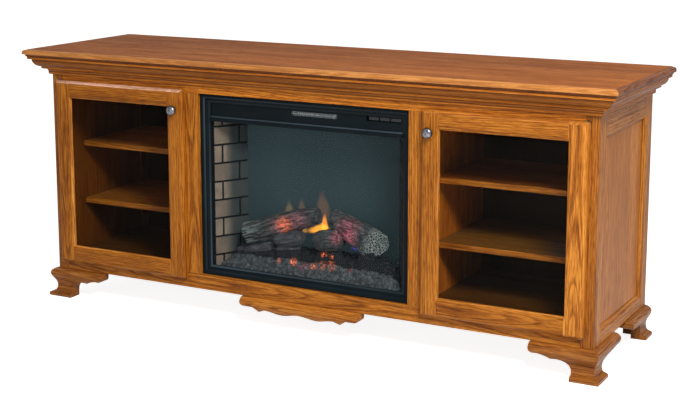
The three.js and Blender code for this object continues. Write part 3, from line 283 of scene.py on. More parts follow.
# Painted shade on the faces that look into the cupboards.
INSIDE_SHADE_TONE = (0.34, 0.29, 0.2)
BACK_TONE = (0.62, 0.62, 0.8)
# A painted highlight on the top's front edge, and its darker ends with painted shade in the cove below the
# edge.
TOP_EDGE_HIGHLIGHT_TONE = (1.45, 1.75, 4.5)
TOP_END_GRAIN_AND_SHADE_TONE = (0.45, 0.36, 0.5)
# Painted highlights on the doors' rounded top edges and on the ring round their glass.
DOOR_TOP_HIGHLIGHT_TONES = {"left": (1.7, 2.8, 20.0), "right": (1.1, 1.1, 1.6)}
DOOR_RING_HIGHLIGHT_TONE = (1.4, 1.6, 3.0)

# Painted shade in the crown's recesses and painted highlights on its ridges: height share and brightness.
CROWN_SHADE_AND_HIGHLIGHT = [
    (0.0, 0.6), (0.03, 1.7), (0.08, 1.7), (0.12, 0.5), (0.19, 1.5), (0.26, 0.45), (0.30, 0.25),
    (0.335, 1.75), (0.41, 1.6), (0.44, 0.38), (0.55, 0.8), (0.72, 1.05), (0.80, 0.6), (0.845, 0.28),
    (0.87, 1.5), (0.95, 1.5), (0.985, 0.3), (1.0, 0.3),
]

# What else differs in the finish of some pieces, and the glossier finish of the parts that carry painted
# highlights.
BOARD_FINISHES = {
    "top_board": {"roughness": 0.42, "specular": 0.03, "contrast": 0.9},
    "side_panel": {"contrast": 0.65},
    "partition": {"contrast": 0.8},
    "crown": {"painted_light_by_height": CROWN_SHADE_AND_HIGHLIGHT, "contrast": 0.6},
}
GLOSSY_HIGHLIGHT_FINISH = {"roughness": 0.3, "specular": 0.3}


def board_place(paint, place, draw, node, axes, board_width, figured):
    """Where a point lies in its own board: along the grain, across it and into it. With it comes the
    board's random shade, where the piece is glued up from several."""
    low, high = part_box(node)
    middle = dict(zip("xyz", (low + high) / 2))
    along, across, deep = (place[axis] for axis in axes)
    if figured:
        shift = draw.uniform(-FIGURED_SHIFT, FIGURED_SHIFT)
    else:
        shift = draw.choice((-1, 1)) * draw.uniform(*PLAIN_SHIFTS)
    across = paint.minus(across, middle[axes[1]] + shift * MM)
    deep = paint.minus(deep, middle[axes[2]])
    shade = None
    if board_width:
        board = paint.math("FLOOR", paint.over(across, board_width))
        across = paint.math("PINGPONG", across, board_width)
        shade = paint.chance(paint.join(board, BOARD_SEED, draw.random()))
        along = paint.plus(along, paint.times(shade, BOARD_STEP_ALONG))
        across = paint.plus(across, paint.times(shade, BOARD_STEP_ACROSS))
    along = paint.plus(along, draw.uniform(*STARTS_ALONG))
    return along, across, deep, shade


def early_wood(paint, along, across, deep):
    """How far a point lies in the open, dark early wood of its ring, from 0 to 1."""
    board = paint.join(along, across, deep)
    sway = paint.noise(paint.scaled(board, SWAY_GRAIN), detail=2)
    sway = paint.times(paint.minus(sway, 0.5), SWAY)
    fine_sway = paint.noise(paint.scaled(board, FINE_SWAY_GRAIN), detail=2)
    fine_sway = paint.times(paint.minus(fine_sway, 0.5), FINE_SWAY)
    tilt = paint.math("SINE", paint.times(along, math.tau / TILT_LENGTH))
    tilt = paint.times(tilt, PITH_TILT)
    depth = paint.plus(paint.plus(deep, tilt), paint.plus(sway, PITH_DEPTH))
    side = paint.plus(across, paint.times(sway, SIDE_SWAY_SHARE))
    radius = paint.plus(paint.length(paint.join(0.0, side, depth)), fine_sway)
    years = paint.over(radius, RING_WIDTH)
    uneven = paint.noise(paint.scaled(paint.join(years, 0.0, 0.0), RING_GRAIN), detail=1)
    ring = paint.math("FRACT", paint.plus(years, paint.times(uneven, RING_UNEVENNESS)))
    return paint.ramp(ring, greys(EARLY_WOOD))


def oak(name, node, axes, tone=None, board_width=None, figured=False, roughness=0.36, specular=0.16,
        contrast=1.0, painted_light_by_height=None):
    """Stained oak. Axes names the world axes along the grain, across the face and into the board. A
    figured board is cut through the middle of the tree, and shows arches in its grain. A board width
    is given where the piece is glued up from several boards."""
    paint = Paint(name)
    place = paint.split(paint.place())
    draw = random.Random(name)
    along, across, deep, shade = board_place(paint, place, draw, node, axes, board_width, figured)
    board = paint.join(along, across, deep)
    early = early_wood(paint, along, across, deep)
    pores = paint.fade(paint.noise(paint.scaled(board, PORE_GRAIN), detail=1), 0.46, 0.62)
    pores = paint.times(pores, paint.fade(early, 0.15, 0.8, 0.3, 1))
    dashes = paint.noise(paint.scaled(board, DASH_GRAIN), detail=2, roughness=0.6)
    streaks = paint.noise(paint.scaled(board, STREAK_GRAIN), detail=4, roughness=0.65)
    clouds = paint.noise(paint.scaled(board, CLOUD_GRAIN), detail=3)

    rings = FIGURED_RINGS if figured else PLAIN_RINGS
    dark = paint.times(early, paint.fade(streaks, 0.3, 0.66, 0.2, rings))
    dark = paint.plus(dark, paint.times(pores, 0.2))
    dark = paint.plus(dark, paint.fade(dashes, 0.42, 0.68, -0.04, 0.34))
    dark = paint.plus(dark, paint.fade(streaks, 0.42, 0.72, 0, 0.24))
    dark = paint.plus(dark, paint.fade(clouds, 0.3, 0.72, -0.1, 0.14), clamp=True)
    dark = paint.math("MULTIPLY_ADD", dark, contrast, MEAN_DARKNESS * (1 - contrast))
    colour = paint.ramp(dark, [(0, OAK_LIGHT), (MIDDLE_AT, OAK_MIDDLE), (1, OAK_DARK)])
    if board_width:
        colour = paint.mix(1.0, colour, paint.mix(shade, *BOARD_TINTS), "MULTIPLY")
    # The piece's own tone, with its painted light and shade.
    colour = paint.mix(1.0, colour, tone or by_start(BOARD_TONES_AND_PAINTED_LIGHT, node, WHITE), "MULTIPLY")
    if painted_light_by_height:
        # Painted shade and highlights in bands by height.
        low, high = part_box(node)
        share = paint.over(paint.minus(place["z"], low.z), high.z - low.z)
        colour = paint.mix(1.0, colour, paint.ramp(share, greys(painted_light_by_height)), "MULTIPLY")
    height = paint.plus(paint.times(pores, -1.0), paint.times(early, -0.35))
    return paint.finish(
        colour=colour,
        roughness=paint.fade(dark, 0, 1, roughness, roughness + ROUGHNESS_SPREAD),
        bump=paint.bump(height, PORE_DEPTH, 0.6),
        specular=specular,
    )


# Black steel: its colour and that of its painted highlights, and the rings of painted highlight on the trim
# frame. Each ring has its near and far distance from the frame's border and its strength at the foot and
# head.
BLACK_STEEL = (0.0045, 0.0085, 0.0110)
HIGHLIGHT_STEEL = (0.050, 0.072, 0.088)
TRIM_HIGHLIGHT_RINGS = [(8.5 * MM, 14 * MM, 0.2, 0.8), (20 * MM, 26 * MM, 0.9, 0.25)]
HIGHLIGHT_RING_FADE = 1.5 * MM
STEEL_CLOUDS = 7
PEEL_GRAIN = 900
PEEL_DEPTH = 0.05 * MM


def black_steel(name, tone, rings=()):
    """Satin powder coat, blue-black, with a fine orange-peel surface and rings of painted highlight."""
    paint = Paint(name)
    place = paint.place()
    cloud = paint.noise(place, STEEL_CLOUDS, detail=3)
    colour = paint.mix(paint.fade(cloud, 0.3, 0.7), grown(tone, 0.8), grown(tone, 1.2))
    if rings:
        low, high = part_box("trim_frame")
        axis = paint.split(place)
        from_low = [paint.minus(axis[key], getattr(low, key)) for key in "xz"]
        from_high = [paint.minus(getattr(high, key), axis[key]) for key in "xz"]
        inwards = paint.math("MINIMUM", paint.math("MINIMUM", *from_low), paint.math("MINIMUM", *from_high))
        # The painted highlights fade towards the right and are patchy.
        aside = paint.fade(axis["x"], low.x, high.x, 1, 0.4)
        patchy = paint.times(aside, paint.fade(cloud, 0.2, 0.8, 0.7, 1))
        for near, far, at_foot, at_head in rings:
            ring = paint.fade(inwards, near, near + HIGHLIGHT_RING_FADE)
            ring = paint.times(ring, paint.fade(inwards, far - HIGHLIGHT_RING_FADE, far, 1, 0))
            ring = paint.times(ring, paint.fade(axis["z"], low.z, high.z, at_foot, at_head))
            colour = paint.mix(paint.times(ring, patchy), colour, HIGHLIGHT_STEEL)
    return paint.finish(
        colour=colour,
        roughness=paint.fade(cloud, 0.3, 0.7, 0.30, 0.38),
        bump=paint.bump(paint.noise(place, PEEL_GRAIN, detail=2), PEEL_DEPTH, 0.5),
        specular=0.07,
    )


# Metals: the plain colour, that of the worn film on it, and the roughness.
METALS = {
    "pewter": ((0.30, 0.31, 0.33), (0.07, 0.075, 0.085), 0.26),
    "hinge_steel": ((0.42, 0.38, 0.31), (0.2, 0.17, 0.13), 0.35),
    "zinc_steel": ((0.55, 0.56, 0.58), (0.4, 0.41, 0.43), 0.3),
    "mesh_steel": ((0.30, 0.33, 0.34), (0.12, 0.13, 0.14), 0.36),
}
FILM_ROUGHNESS = 0.14
FILM_GRAIN = 180
BRUSHED_GRAIN = (60, 900, 900)
BRUSHED_DEPTH = 0.02 * MM


def metal(name):
    """Plated or cast metal with a worn, darker film in patches."""
    light, dark, roughness = METALS[name]
    paint = Paint(name)
    place = paint.place()
    film = paint.noise(place, FILM_GRAIN, detail=4, roughness=0.65)
    brushed = paint.noise(paint.scaled(place, BRUSHED_GRAIN), detail=2)
    return paint.finish(
        colour=paint.mix(paint.fade(film, 0.35, 0.65), dark, light),
        metallic=1.0,
        roughness=paint.fade(film, 0.3, 0.7, roughness + FILM_ROUGHNESS, roughness),
        bump=paint.bump(brushed, BRUSHED_DEPTH, 0.5),
    )


# Panes: how much they cover and scatter, and what dust adds to both.
DOOR_GLASS_TONE = (0.02, 0.018, 0.015)
FIRE_GLASS_TONE = (0.02, 0.03, 0.034)
PANE_ALPHA = 0.10
DUST_ALPHA = 0.02
PANE_ROUGHNESS = 0.04
DUST_ROUGHNESS = 0.06
DUST_GRAIN = 14
WAVE_GRAIN = 3
WAVE_DEPTH = 0.2 * MM


def glass(name, colour):
    """A clear pane with a faint film of dust."""
    paint = Paint(name)
    place = paint.place()
    dust = paint.noise(place, DUST_GRAIN, detail=5, roughness=0.7)
    return paint.finish(
        colour=colour,
        roughness=paint.fade(dust, 0.3, 0.8, PANE_ROUGHNESS, PANE_ROUGHNESS + DUST_ROUGHNESS),
        alpha=paint.fade(dust, 0.3, 0.8, PANE_ALPHA, PANE_ALPHA + DUST_ALPHA),
        bump=paint.bump(paint.noise(place, WAVE_GRAIN, detail=1), WAVE_DEPTH, 0.3),
        specular=0.05,
    )


BUTTON_TONE = (0.035, 0.042, 0.046)
WEAR_GRAIN = 30
PLASTIC_GRAIN = 1500
PLASTIC_DEPTH = 0.05 * MM


def grey_plastic():
    """Moulded plastic of the buttons, with a fine grain and worn patches."""
    paint = Paint("grey_plastic")
    place = paint.place()
    wear = paint.noise(place, WEAR_GRAIN, detail=3)
    return paint.finish(
        colour=paint.mix(paint.fade(wear, 0.3, 0.7), grown(BUTTON_TONE, 0.85), grown(BUTTON_TONE, 1.15)),
        roughness=paint.fade(wear, 0.3, 0.7, 0.45, 0.55),
        bump=paint.bump(paint.noise(place, PLASTIC_GRAIN, detail=2), PLASTIC_DEPTH, 0.5),
    )


# The firebox, from its pieces.
SCREEN_LOW, SCREEN_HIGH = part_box("flame_screen")
BED_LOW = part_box("ember_bed")[0]
FIRE_FRONT = BED_LOW.y
FLOOR_Z = BED_LOW.z
FACE_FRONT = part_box("bottom_rail")[0].y

# The smoked screen: its colour, its haze where it is dark and bright, and between which places the haze
# fades sideways.
SCREEN_TONE = (0.010, 0.017, 0.019)
HAZE_DARK = (0.007, 0.013, 0.015)
HAZE_BRIGHT = (0.026, 0.044, 0.050)
HAZE_LEFT = -100 * MM
HAZE_RIGHT = 80 * MM
HAZE_RIGHT_END = 255 * MM
HAZE_GRAIN = (3, 3, 3)
SCREEN_GRAIN = 600
SCREEN_DEPTH = 0.03 * MM

# Tongues of flame on the screen: foot and tip as (x, z) and half the width at the foot, all in
# millimetres, then the strength and colour.
FLAMES = [
    ((-6, 270), (8, 306), 46, 1.5, (1.0, 0.36, 0.012)),
    ((9, 282), (9, 340), 13, 1.1, (1.0, 0.30, 0.012)),
    ((4, 322), (0, 416), 32, 0.11, (0.9, 0.34, 0.10)),
    ((-54, 266), (-56, 292), 10, 0.5, (0.9, 0.42, 0.02)),
    ((-112, 306), (-110, 366), 20, 0.16, (0.85, 0.50, 0.12)),
    ((-69, 318), (-67, 380), 16, 0.11, (0.85, 0.38, 0.15)),
    ((122, 236), (112, 270), 30, 0.9, (0.13, 0.08, 1.0)),
]
WAVER = 26 * MM
WAVER_GRAIN = (28, 28, 14)
TIP_TAPER = 0.9
FOOT_FADE_SHARE = 0.25


def screen_level(share):
    """The height at a share of the screen's height."""
    return SCREEN_LOW.z + share * (SCREEN_HIGH.z - SCREEN_LOW.z)


def smoke_screen():
    """The smoked screen: a cool haze, brightest in the middle, with flames thrown on it from behind."""
    paint = Paint("smoke_screen")
    place = paint.place()
    axis = paint.split(place)
    sideways = paint.fade(axis["x"], HAZE_RIGHT, HAZE_RIGHT_END, 1, 0.12)
    sideways = paint.times(sideways, paint.fade(axis["x"], SCREEN_LOW.x, HAZE_LEFT, 0.55, 1))
    upwards = paint.fade(axis["z"], screen_level(0.1), screen_level(0.5), 0.35, 1)
    downwards = paint.fade(axis["z"], screen_level(0.55), screen_level(1), 1, 0.5)
    cloud = paint.fade(paint.noise(paint.scaled(place, HAZE_GRAIN), detail=2), 0.3, 0.7, 0.85, 1.1)
    haze = paint.times(paint.times(sideways, upwards), paint.times(downwards, cloud))
    return paint.finish(
        colour=SCREEN_TONE,
        roughness=0.42,
        specular=0.1,
        glow=paint.mix(1.0, paint.mix(haze, HAZE_DARK, HAZE_BRIGHT), flames(paint, place), "ADD"),
        glow_strength=1.0,
        bump=paint.bump(paint.noise(place, SCREEN_GRAIN, detail=1), SCREEN_DEPTH, 0.4),
    )


def flames(paint, place):
    """The light of all the flames, from soft tongues whose edges waver."""
    waver = paint.noise(paint.scaled(place, WAVER_GRAIN), detail=3, roughness=0.6)
    waver = paint.times(paint.minus(waver, 0.5), WAVER)
    axis = paint.split(place)
    across = paint.plus(axis["x"], waver)
    lights = []
    for foot, tip, half, strength, tone in FLAMES:
        foot_x, foot_z = (length * MM for length in foot)
        tip_x, tip_z = (length * MM for length in tip)
        rise = paint.fade(axis["z"], foot_z, tip_z)
        centre = paint.plus(paint.times(rise, tip_x - foot_x), foot_x)
        width = paint.plus(paint.times(rise, -TIP_TAPER * half * MM), half * MM)
        off = paint.over(paint.math("ABSOLUTE", paint.minus(across, centre)), width)
        body = paint.times(paint.fade(off, 0.35, 1.0, 1, 0), paint.fade(rise, 0.35, 1.0, 1, 0))
        below = foot_z - FOOT_FADE_SHARE * (tip_z - foot_z)
        body = paint.times(body, paint.fade(axis["z"], below, foot_z))
        lights.append(paint.mix(body, BLACK, grown(tone, strength)))
    return sum_of(paint, lights)


# The brick linings: their courses, the half width between their walls in front, and the direction in
# which the walls run back.
COURSE = 54.5 * MM
BRICK_LENGTH = 50 * MM
BOND_SHARE = 0.3
WALL_HALF = 306 * MM
WALL_RUN = Vector((-56, 96.6, 0)).normalized()
BRICK_TONES = [(0, (0.25, 0.19, 0.135)), (0.5, (0.34, 0.265, 0.195)), (1, (0.43, 0.34, 0.25))]
GRIT_TONE = (0.14, 0.11, 0.085)
STAIN_TONE = (0.10, 0.09, 0.08)
MORTAR_TONE = (0.006, 0.007, 0.008)
FRONT_EDGE_TONE = (0.004, 0.005, 0.006)
MORTAR_FADE = (0.5 * MM, 1.6 * MM)
FRONT_EDGE_FADE = (1 * MM, 2 * MM)
GRIT_GRAIN = 260
GRIT_DEPTH = 0.8 * MM
STAIN_GRAIN = 26

# Darkening of each lining towards the screen: where it starts behind the lining's front, and its colour.
# The right lining is painted dark all over as in shade, so its darkening starts in front of it.
LINING_DARKENING_AND_SHADE = {"left": (24 * MM, (0.022, 0.044, 0.050)), "right": (-30 * MM, (0.002, 0.004, 0.005))}
DARKENING_REACH = 32 * MM


def brick(side):
    """Painted brick relief: each brick has its own random tone, and all darken towards the screen. The
    right lining is painted dark all over as in shade.
    """
    dark_start, dark_tone = LINING_DARKENING_AND_SHADE[side]
    paint = Paint("brick_" + side)
    place = paint.place()
    axis = paint.split(place)
    depth = paint.minus(axis["y"], FIRE_FRONT)
    row = paint.math("FLOOR", paint.over(paint.minus(axis["z"], FLOOR_Z), COURSE))
    column = paint.math("FLOOR", paint.plus(paint.over(depth, BRICK_LENGTH), BOND_SHARE))
    # The darkening's start differs between the linings, so their bricks get different random tones.
    shade = paint.chance(paint.join(row, column, dark_start))
    grit = paint.noise(place, GRIT_GRAIN, detail=4, roughness=0.7)
    stain = paint.noise(place, STAIN_GRAIN, detail=3)
    tan = paint.ramp(shade, BRICK_TONES)
    tan = paint.mix(paint.fade(grit, 0.3, 0.72, 0, 0.5), tan, GRIT_TONE)
    tan = paint.mix(paint.fade(stain, 0.45, 0.75, 0, 0.4), tan, STAIN_TONE)
    # Darker towards the screen; on the right lining this is painted shade all over.
    darkening = paint.fade(depth, dark_start, dark_start + DARKENING_REACH)
    colour = paint.mix(darkening, tan, paint.mix(0.12, dark_tone, tan))
    # How far a face stands proud of the mortar.
    aside = paint.minus(WALL_HALF, paint.math("ABSOLUTE", axis["x"]))
    proud = paint.plus(paint.times(aside, WALL_RUN.y), paint.times(depth, WALL_RUN.x))
    colour = paint.mix(paint.fade(proud, *MORTAR_FADE, 1, 0), colour, MORTAR_TONE)
    colour = paint.mix(paint.fade(depth, *FRONT_EDGE_FADE, 1, 0), colour, FRONT_EDGE_TONE)
    return paint.finish(
        colour=colour,
        roughness=0.85,
        bump=paint.bump(grit, GRIT_DEPTH, 0.7),
        specular=0.2,
    )


def case_point(x, y, z):
    """A point given in millimetres from the middle of the face frame's front, at floor height."""
    return Vector((x * MM, y * MM + FACE_FRONT, z * MM))


# Charred logs: the tones of their fibres from dark to light, and of ash, cracks and ends. One log shows its
# cut end, and another is paler at its left end.
BARK_TONES = [(0.3, (0.014, 0.015, 0.016)), (0.5, (0.060, 0.066, 0.067)), (0.68, (0.15, 0.17, 0.165))]
BARK_GRAIN = (22, 150, 150)
PLATE_STRETCH = (1, 2.4, 2.4)
PLATE_CELLS = 42
BARK_RELIEF = 1.6 * MM
BARK_ASH_GRAIN = 90
BARK_CRACK_GRAIN = 230
PALE_ASH = (0.24, 0.265, 0.25)
CRACK_TONE = (0.006, 0.006, 0.007)
CUT_END_PALE = (0.44, 0.51, 0.48)
CUT_END_CRAZE = (0.050, 0.064, 0.061)
CUT_END_REACH = (48 * MM, 72 * MM)
CRAZE_CELLS = 135
PALE_END_TONE = (0.23, 0.30, 0.28)
PALE_END_REACH = (20 * MM, 95 * MM)
CUT_END_LOG = "right_log"
PALE_END_LOG = "left_log"

# Where wood and coals glow: centre, reach, strength and colour.
ORANGE = (1.0, 0.17, 0.03)
RED = (1.0, 0.1, 0.08)
PINK = (0.62, 0.10, 0.16)
BLUE = (0.10, 0.06, 0.9)
LOG_GLOWS = {
    "left_log": [
        (case_point(-84, 50, 298), 36 * MM, 1.25, ORANGE),
        (case_point(-44, 52, 316), 50 * MM, 0.42, PINK),
        (case_point(-104, 50, 296), 44 * MM, 0.3, PINK),
    ],
    "centre_log": [
        (case_point(96, 42, 285), 34 * MM, 0.9, PINK),
    ],
    "right_log": [
        (case_point(120, 48, 312), 54 * MM, 0.8, PINK),
        (case_point(132, 46, 284), 36 * MM, 0.6, PINK),
    ],
}
COAL_GLOWS = [
    (case_point(-54, 50, 194), 17 * MM, 3.0, ORANGE),
    (case_point(-104, 50, 192), 14 * MM, 1.0, ORANGE),
    (case_point(13, 50, 192), 17 * MM, 2.0, ORANGE),
    (case_point(69, 45, 198), 22 * MM, 2.8, ORANGE),
    (case_point(128, 50, 196), 16 * MM, 1.0, RED),
    (case_point(43, 62, 226), 14 * MM, 1.6, ORANGE),
    (case_point(69, 62, 221), 10 * MM, 1.6, ORANGE),
    (case_point(129, 62, 222), 14 * MM, 0.5, PINK),
    (case_point(40, 45, 196), 20 * MM, 1.5, ORANGE),
    (case_point(-20, 50, 186), 22 * MM, 0.5, PINK),
    (case_point(126, 84, 238), 20 * MM, 0.5, BLUE),
]
LOG_CORE_SHARE = 0.15
COAL_CORE_SHARE = 0.25


def glow_of(paint, place, spots, core_share, texture):
    """The light of glowing spots, full within a share of their reach and broken up by a texture."""
    lights = []
    for centre, reach, strength, tone in spots:
        spot = paint.fade(paint.away(place, centre), core_share * reach, reach, 1, 0)
        lights.append(paint.mix(paint.times(spot, texture), BLACK, grown(tone, strength)))
    return sum_of(paint, lights)


def fibres(paint, local):
    """The fibres of charred wood, in a space whose x runs along the log."""
    return paint.noise(paint.scaled(local, BARK_GRAIN), detail=4, roughness=0.65)


def charred(node, start, end):
    """Charred bark: ridges along the log, pale ash on them, and glowing cracks in some places."""
    paint = Paint(node + "_bark")
    place = paint.place()
    turn = (end - start).normalized().to_track_quat("X", "Z").inverted().to_euler()
    local = paint.add("Mapping", {"Vector": place, "Rotation": turn})
    fibre = fibres(paint, local)
    plates = paint.cells(paint.scaled(local, PLATE_STRETCH), PLATE_CELLS, "DISTANCE_TO_EDGE")
    ash = paint.noise(place, BARK_ASH_GRAIN, detail=4, roughness=0.7)
    colour = paint.ramp(fibre, BARK_TONES)
    colour = paint.mix(paint.fade(ash, 0.55, 0.75, 0, 0.6), colour, PALE_ASH)
    colour = paint.mix(paint.fade(plates, 0.0, 0.10, 0.7, 0), colour, CRACK_TONE)
    if node == CUT_END_LOG:
        face = paint.fade(paint.away(place, end), *CUT_END_REACH, 1, 0)
        crazed = paint.fade(paint.cells(place, CRAZE_CELLS, "DISTANCE_TO_EDGE"), 0.02, 0.14)
        colour = paint.mix(face, colour, paint.mix(crazed, CUT_END_PALE, CUT_END_CRAZE))
    if node == PALE_END_LOG:
        pale_end = paint.fade(paint.away(place, start), *PALE_END_REACH, 1, 0)
        pale_end = paint.times(pale_end, paint.fade(fibre, 0.46, 0.6))
        colour = paint.mix(pale_end, colour, PALE_END_TONE)
    cracks = paint.fade(paint.noise(place, BARK_CRACK_GRAIN, detail=2, roughness=0.6), 0.42, 0.58, 0.12, 1)
    texture = paint.times(paint.fade(fibre, 0.32, 0.6), cracks)
    height = paint.plus(fibre, paint.fade(plates, 0.0, 0.12, 0, 0.5))
    return paint.finish(
        colour=colour,
        roughness=0.8,
        specular=0.25,
        bump=paint.bump(height, BARK_RELIEF, 0.8),
        glow=glow_of(paint, place, LOG_GLOWS[node], LOG_CORE_SHARE, texture),
        glow_strength=1.0,
    )


# The fire bed: the tones of its coals and where they are painted dark as in shade, behind their crest and
# on the heaps under the logs, and the small log moulded on it.
COAL_TONES = [(0.3, (0.030, 0.035, 0.038)), (0.52, (0.090, 0.108, 0.115)), (0.72, (0.20, 0.23, 0.24))]
COAL_SHADES = ((0.03, 0.038, 0.042), (0.17, 0.20, 0.215))
COAL_GAP_TONE = (0.008, 0.010, 0.012)
BED_SHADE_TONE = (0.004, 0.005, 0.0055)
SHADE_BEHIND = (24 * MM, 34 * MM)
SHADE_ABOVE = (58 * MM, 66 * MM)
COAL_CELLS = 110
COAL_ASH_GRAIN = 70
COAL_CRACK_GRAIN = 210
COAL_RELIEF = 1.2 * MM
SMALL_LOG = (case_point(-127, 71.9, 248.4), case_point(-29.6, 72.8, 264.3))
SMALL_LOG_RADIUS = 33 * MM
SMALL_LOG_FADE = 2 * MM
SMALL_LOG_TONES = [(0.3, (0.014, 0.015, 0.017)), (0.5, (0.055, 0.058, 0.066)), (0.68, (0.13, 0.135, 0.15))]


def embers():
    """Grey-blue coals in front, painted black as in shade behind their crest, with a few that glow."""
    paint = Paint("embers")
    place = paint.place()
    axis = paint.split(place)
    chips = paint.cells(place, COAL_CELLS, "F1")
    shade = paint.cells(place, COAL_CELLS, "F1", "Color")
    ash = paint.noise(place, COAL_ASH_GRAIN, detail=5, roughness=0.7)
    colour = paint.ramp(ash, COAL_TONES)
    colour = paint.mix(0.35, colour, paint.mix(shade, *COAL_SHADES))
    colour = paint.mix(paint.fade(chips, 0.25, 0.75, 0, 0.6), colour, COAL_GAP_TONE)
    # Painted shade behind the coals' crest and on the heaps higher up under the logs.
    behind = paint.fade(axis["y"], *(FIRE_FRONT + depth for depth in SHADE_BEHIND))
    raised = paint.fade(axis["z"], *(FLOOR_Z + height for height in SHADE_ABOVE))
    shaded = paint.fade(paint.plus(behind, raised), 0.5, 1.0, 0, 0.94)
    colour = paint.mix(shaded, colour, BED_SHADE_TONE)

    start, end = SMALL_LOG
    turn = (end - start).to_track_quat("X", "Z").inverted()
    mapping = {"Vector": place, "Rotation": turn.to_euler(), "Location": -(turn @ start)}
    local = paint.add("Mapping", mapping)
    local_axis = paint.split(local)
    off = paint.length(paint.join(0.0, local_axis["y"], local_axis["z"]))
    on_log = paint.fade(off, SMALL_LOG_RADIUS, SMALL_LOG_RADIUS + SMALL_LOG_FADE, 1, 0)
    char = paint.ramp(fibres(paint, local), SMALL_LOG_TONES)
    colour = paint.mix(paint.times(on_log, raised), colour, char)

    cracks = paint.fade(paint.noise(place, COAL_CRACK_GRAIN, detail=3, roughness=0.65), 0.46, 0.64)
    return paint.finish(
        colour=colour,
        roughness=0.75,
        specular=0.3,
        glow=glow_of(paint, place, COAL_GLOWS, COAL_CORE_SHARE, cracks),
        glow_strength=1.0,
        bump=paint.bump(paint.plus(ash, chips), COAL_RELIEF, 0.8),
    )


# How a CAD piece is cleaned and its edges eased.
SAME_CORNER = 0.01 * MM
SAME_PLANE_DEG = 0.3
SHARP_EDGE_DEG = 35
SMOOTH_DEG = 32
KNOB_SMOOTH_DEG = 50
BEVEL_SEGMENTS = 2


def new_piece(name, shape):
    """An object made of a bmesh."""
    mesh = bpy.data.meshes.new(name)
    shape.to_mesh(mesh)
    shape.free()
    piece = bpy.data.objects.new(name, mesh)
    bpy.context.scene.collection.objects.link(piece)
    return piece


def bake_modifiers(piece):
    """Replaces the piece's mesh by the one its modifiers make."""
    graph = bpy.context.evaluated_depsgraph_get()
    made = bpy.data.meshes.new_from_object(piece.evaluated_get(graph))
    before = piece.data
    piece.modifiers.clear()
    piece.data = made
    bpy.data.meshes.remove(before)


def cad_shape(node):
    """A bmesh of a CAD piece with its shared corners merged and its flat faces whole."""
    shape = bmesh.new()
    shape.from_mesh(frame["nodes"][node].data)
    bmesh.ops.remove_doubles(shape, verts=shape.verts, dist=SAME_CORNER)
    limit = math.radians(SAME_PLANE_DEG)
    bmesh.ops.dissolve_limit(shape, angle_limit=limit, verts=shape.verts, edges=shape.edges)
    return shape


def carry(piece, node, materials):
    """Gives a piece its materials and puts it in place of a CAD node."""
    piece.data.materials.clear()
    for material in materials:
        piece.data.materials.append(material)
    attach(piece, BODY_OF[node])
    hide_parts(node)


def eased(node, width, materials, cuts=(), choose=None, smooth_deg=SMOOTH_DEG, edge_material=-1):
    """A CAD piece with its sharp edges eased, as sanding or paint leaves them. Its faces are cut at the
    planes given, and choose picks the material of each face from its middle."""
    shape = cad_shape(node)
    for point, normal in cuts:
        parts = shape.verts[:] + shape.edges[:] + shape.faces[:]
        bmesh.ops.bisect_plane(shape, geom=parts, plane_co=point, plane_no=normal)
    piece = new_piece(node + "_finish", shape)
    for layer in ("custom_normal", "sharp_edge"):
        if layer in piece.data.attributes:
            piece.data.attributes.remove(piece.data.attributes[layer])
    if width:
        bevel = piece.modifiers.new("eased_edges", "BEVEL")
        bevel.width = width
        bevel.segments = BEVEL_SEGMENTS
        bevel.limit_method = "ANGLE"
        bevel.angle_limit = math.radians(SHARP_EDGE_DEG)
        bevel.use_clamp_overlap = True
        bevel.material = edge_material
        bake_modifiers(piece)
    piece.data.shade_smooth()
    piece.data.set_sharp_from_angle(angle=math.radians(smooth_deg))
    even = piece.modifiers.new("even_faces", "WEIGHTED_NORMAL")
    even.keep_sharp = True
    bake_modifiers(piece)
    carry(piece, node, materials)
    if choose:
        for face in piece.data.polygons:
            face.material_index = choose(face.center)
    return piece


def rough_surface(node, voxel, change):
    """A dense copy of a CAD piece whose points are moved by change(point, normal)."""
    shape = cad_shape(node)
    bmesh.ops.triangulate(shape, faces=shape.faces)
    piece = new_piece(node + "_relief", shape)
    remesh = piece.modifiers.new("dense", "REMESH")
    remesh.mode = "VOXEL"
    remesh.voxel_size = voxel
    bake_modifiers(piece)
    mesh = piece.data
    normals = [vertex.normal.copy() for vertex in mesh.vertices]
    for vertex, normal in zip(mesh.vertices, normals):
        vertex.co = change(vertex.co.copy(), normal)
    mesh.shade_smooth()
    mesh.update()
    return piece


# The world axes along the grain, across the face and into the board of each wooden piece.
GRAINS = {
    "crown_front": "xzy", "bottom_rail": "xzy", "top_rail": "xzy", "valance": "xzy",
    "bottom_deck": "xyz", "back_panel": "zxy", "top_board": "xyz",
}
SIDE_GRAINS = {
    "crown_side_{}": "yzx", "outer_stile_{}": "zxy", "inner_stile_{}": "zxy", "side_panel_{}": "zyx",
    "partition_{}": "zyx", "{}_door_outer_stile": "zxy", "{}_door_inner_stile": "zxy",
    "{}_door_top_rail": "xzy", "{}_door_bottom_rail": "xzy",
}
BOARD_WIDTHS = {
    "side_panel": 95 * MM, "partition": 140 * MM, "bottom_deck": 130 * MM, "back_panel": 240 * MM,
    "top_board": 118 * MM, "shelf": 110 * MM,
}
FIGURED = (
    "inner_stile_left", "valance", "bottom_rail", "top_rail", "side_panel_left",
    "right_door_bottom_rail", "right_door_outer_stile", "left_door_outer_stile",
)

# Edges and borders of the wood: its eased edges, the layer that counts as a face, the rounded edge and
# the glass ring of a door, and the moulded border of the top board with the cove below it.
EDGE = 0.7 * MM
FACE_LAYER = 1.5 * MM
INNER_LAYER = 1 * MM
DOOR_ROUND = 7.9 * MM
DOOR_RING = 2.5 * MM
TOP_BORDER = 12 * MM
TOP_COVE = 6 * MM


